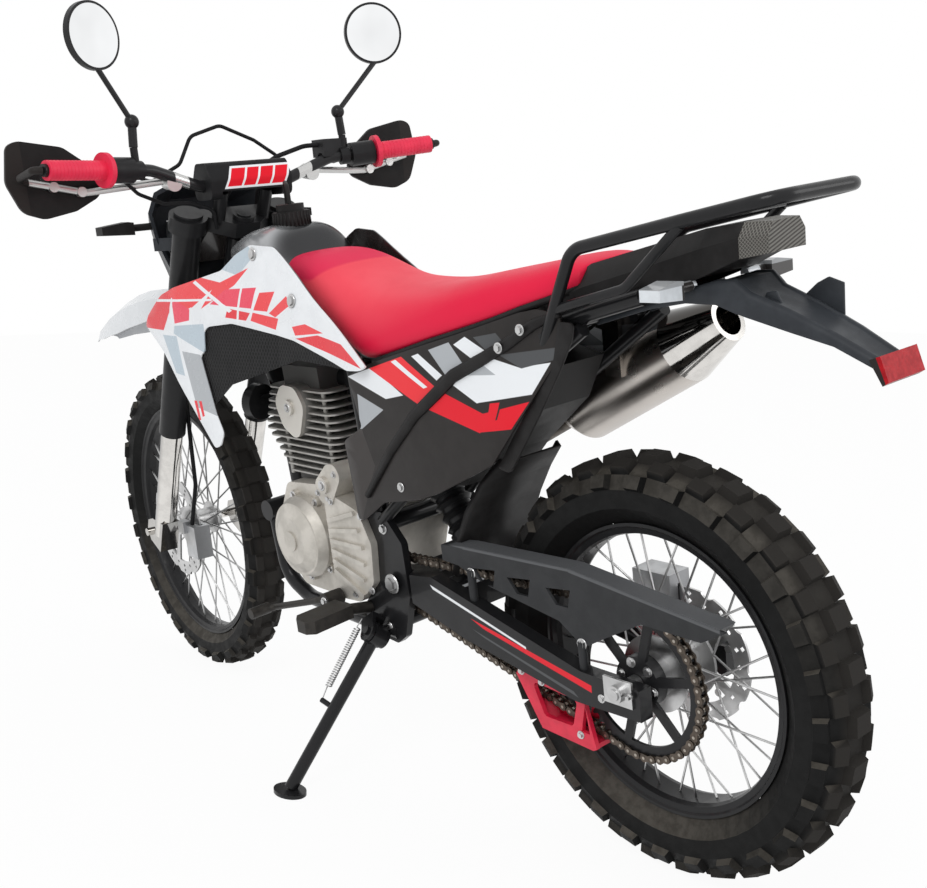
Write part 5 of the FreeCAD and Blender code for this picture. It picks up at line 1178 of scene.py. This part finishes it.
def seenDirectly(tree):
    # 1 for what the camera sees, also in a reflection or through glass.
    rays = addNode(tree, "LightPath").outputs
    either = calculation(tree, "ADD", rays["Is Camera Ray"], rays["Is Glossy Ray"], clamp=True)
    return calculation(tree, "ADD", either, rays["Is Transmission Ray"], clamp=True)


def mixShaders(tree, share, first, second, goal):
    mix = addNode(tree, "MixShader", {0: share, 1: first.outputs[0], 2: second.outputs[0]})
    tree.links.new(mix.outputs[0], tree.nodes[goal].inputs["Surface"])


def makeStage():
    mesh = bpy.data.meshes.new("floor")
    half = stageValues["floorSize"] / 2
    mesh.from_pydata([(-half, -half, 0), (half, -half, 0), (half, half, 0), (-half, half, 0)], [],
                     [(0, 1, 2, 3)])
    floor = bpy.data.objects.new("floor", mesh)
    bpy.context.scene.collection.objects.link(floor)
    material, tree, surface, coordinates = newMaterial("floorWhite")
    noise = useGroup(tree, mottleGroup, Vector=coordinates, Scale=2.0)
    colour = stageValues["floorColour"]
    feedAll(tree, surface, {
        "Base Color": mixColour(tree, noise, colour, tuple(c * 0.99 for c in colour)),
        "Roughness": 0.9, "Specular IOR Level": 0.1})
    share = calculation(tree, "MULTIPLY", seenDirectly(tree), stageValues["whiteShare"])
    mixShaders(tree, share, surface, addNode(tree, "Emission"), "Material Output")
    mesh.materials.append(material)


def makeWorld():
    world = bpy.data.worlds.new("studio")
    bpy.context.scene.world = world
    world.use_nodes = True
    tree = world.node_tree
    light = tree.nodes["Background"]
    feedAll(tree, light, {"Color": lightValues["worldColour"], "Strength": lightValues["world"]})
    plain = addNode(tree, "Background", {"Color": (1.0, 1.0, 1.0)})
    mixShaders(tree, seenDirectly(tree), light, plain, "World Output")


def makeLamp(name):
    data = bpy.data.lights.new(name + "Lamp", "AREA")
    data.energy = lightValues[name + "Energy"]
    data.size = lightValues[name + "Size"]
    lamp = bpy.data.objects.new(name + "Lamp", data)
    bpy.context.scene.collection.objects.link(lamp)
    lamp.location = lightValues[name + "At"]
    away = Vector(lightValues["aim"]) - Vector(lightValues[name + "At"])
    lamp.rotation_euler = away.to_track_quat("-Z", "Y").to_euler()


def makeCamera():
    azimuth, elevation, roll = (math.radians(cameraValues[name])
                                for name in ("azimuth", "elevation", "roll"))
    back = Vector((math.sin(azimuth) * math.cos(elevation),
                   -math.cos(azimuth) * math.cos(elevation), math.sin(elevation)))
    level = (-back).cross(Vector((0, 0, 1))).normalized()
    steep = level.cross(-back)
    across = level * math.cos(roll) + steep * math.sin(roll)
    high = steep * math.cos(roll) - level * math.sin(roll)
    data = bpy.data.cameras.new("camera")
    data.lens = cameraValues["lens"]
    data.sensor_width = 36.0
    data.shift_x = cameraValues["shiftX"]
    data.shift_y = cameraValues["shiftY"]
    data.clip_start = 0.01
    data.dof.use_dof = False
    camera = bpy.data.objects.new("camera", data)
    bpy.context.scene.collection.objects.link(camera)
    turn = Matrix((across, high, back)).transposed().to_4x4()
    camera.matrix_world = Matrix.Translation(cameraValues["at"]) @ turn
    bpy.context.scene.camera = camera


makeStage()
makeWorld()
makeLamp("key")
makeLamp("rim")
makeCamera()
bpy.context.scene.view_settings.view_transform = "Standard"
print("stage, light and camera made")
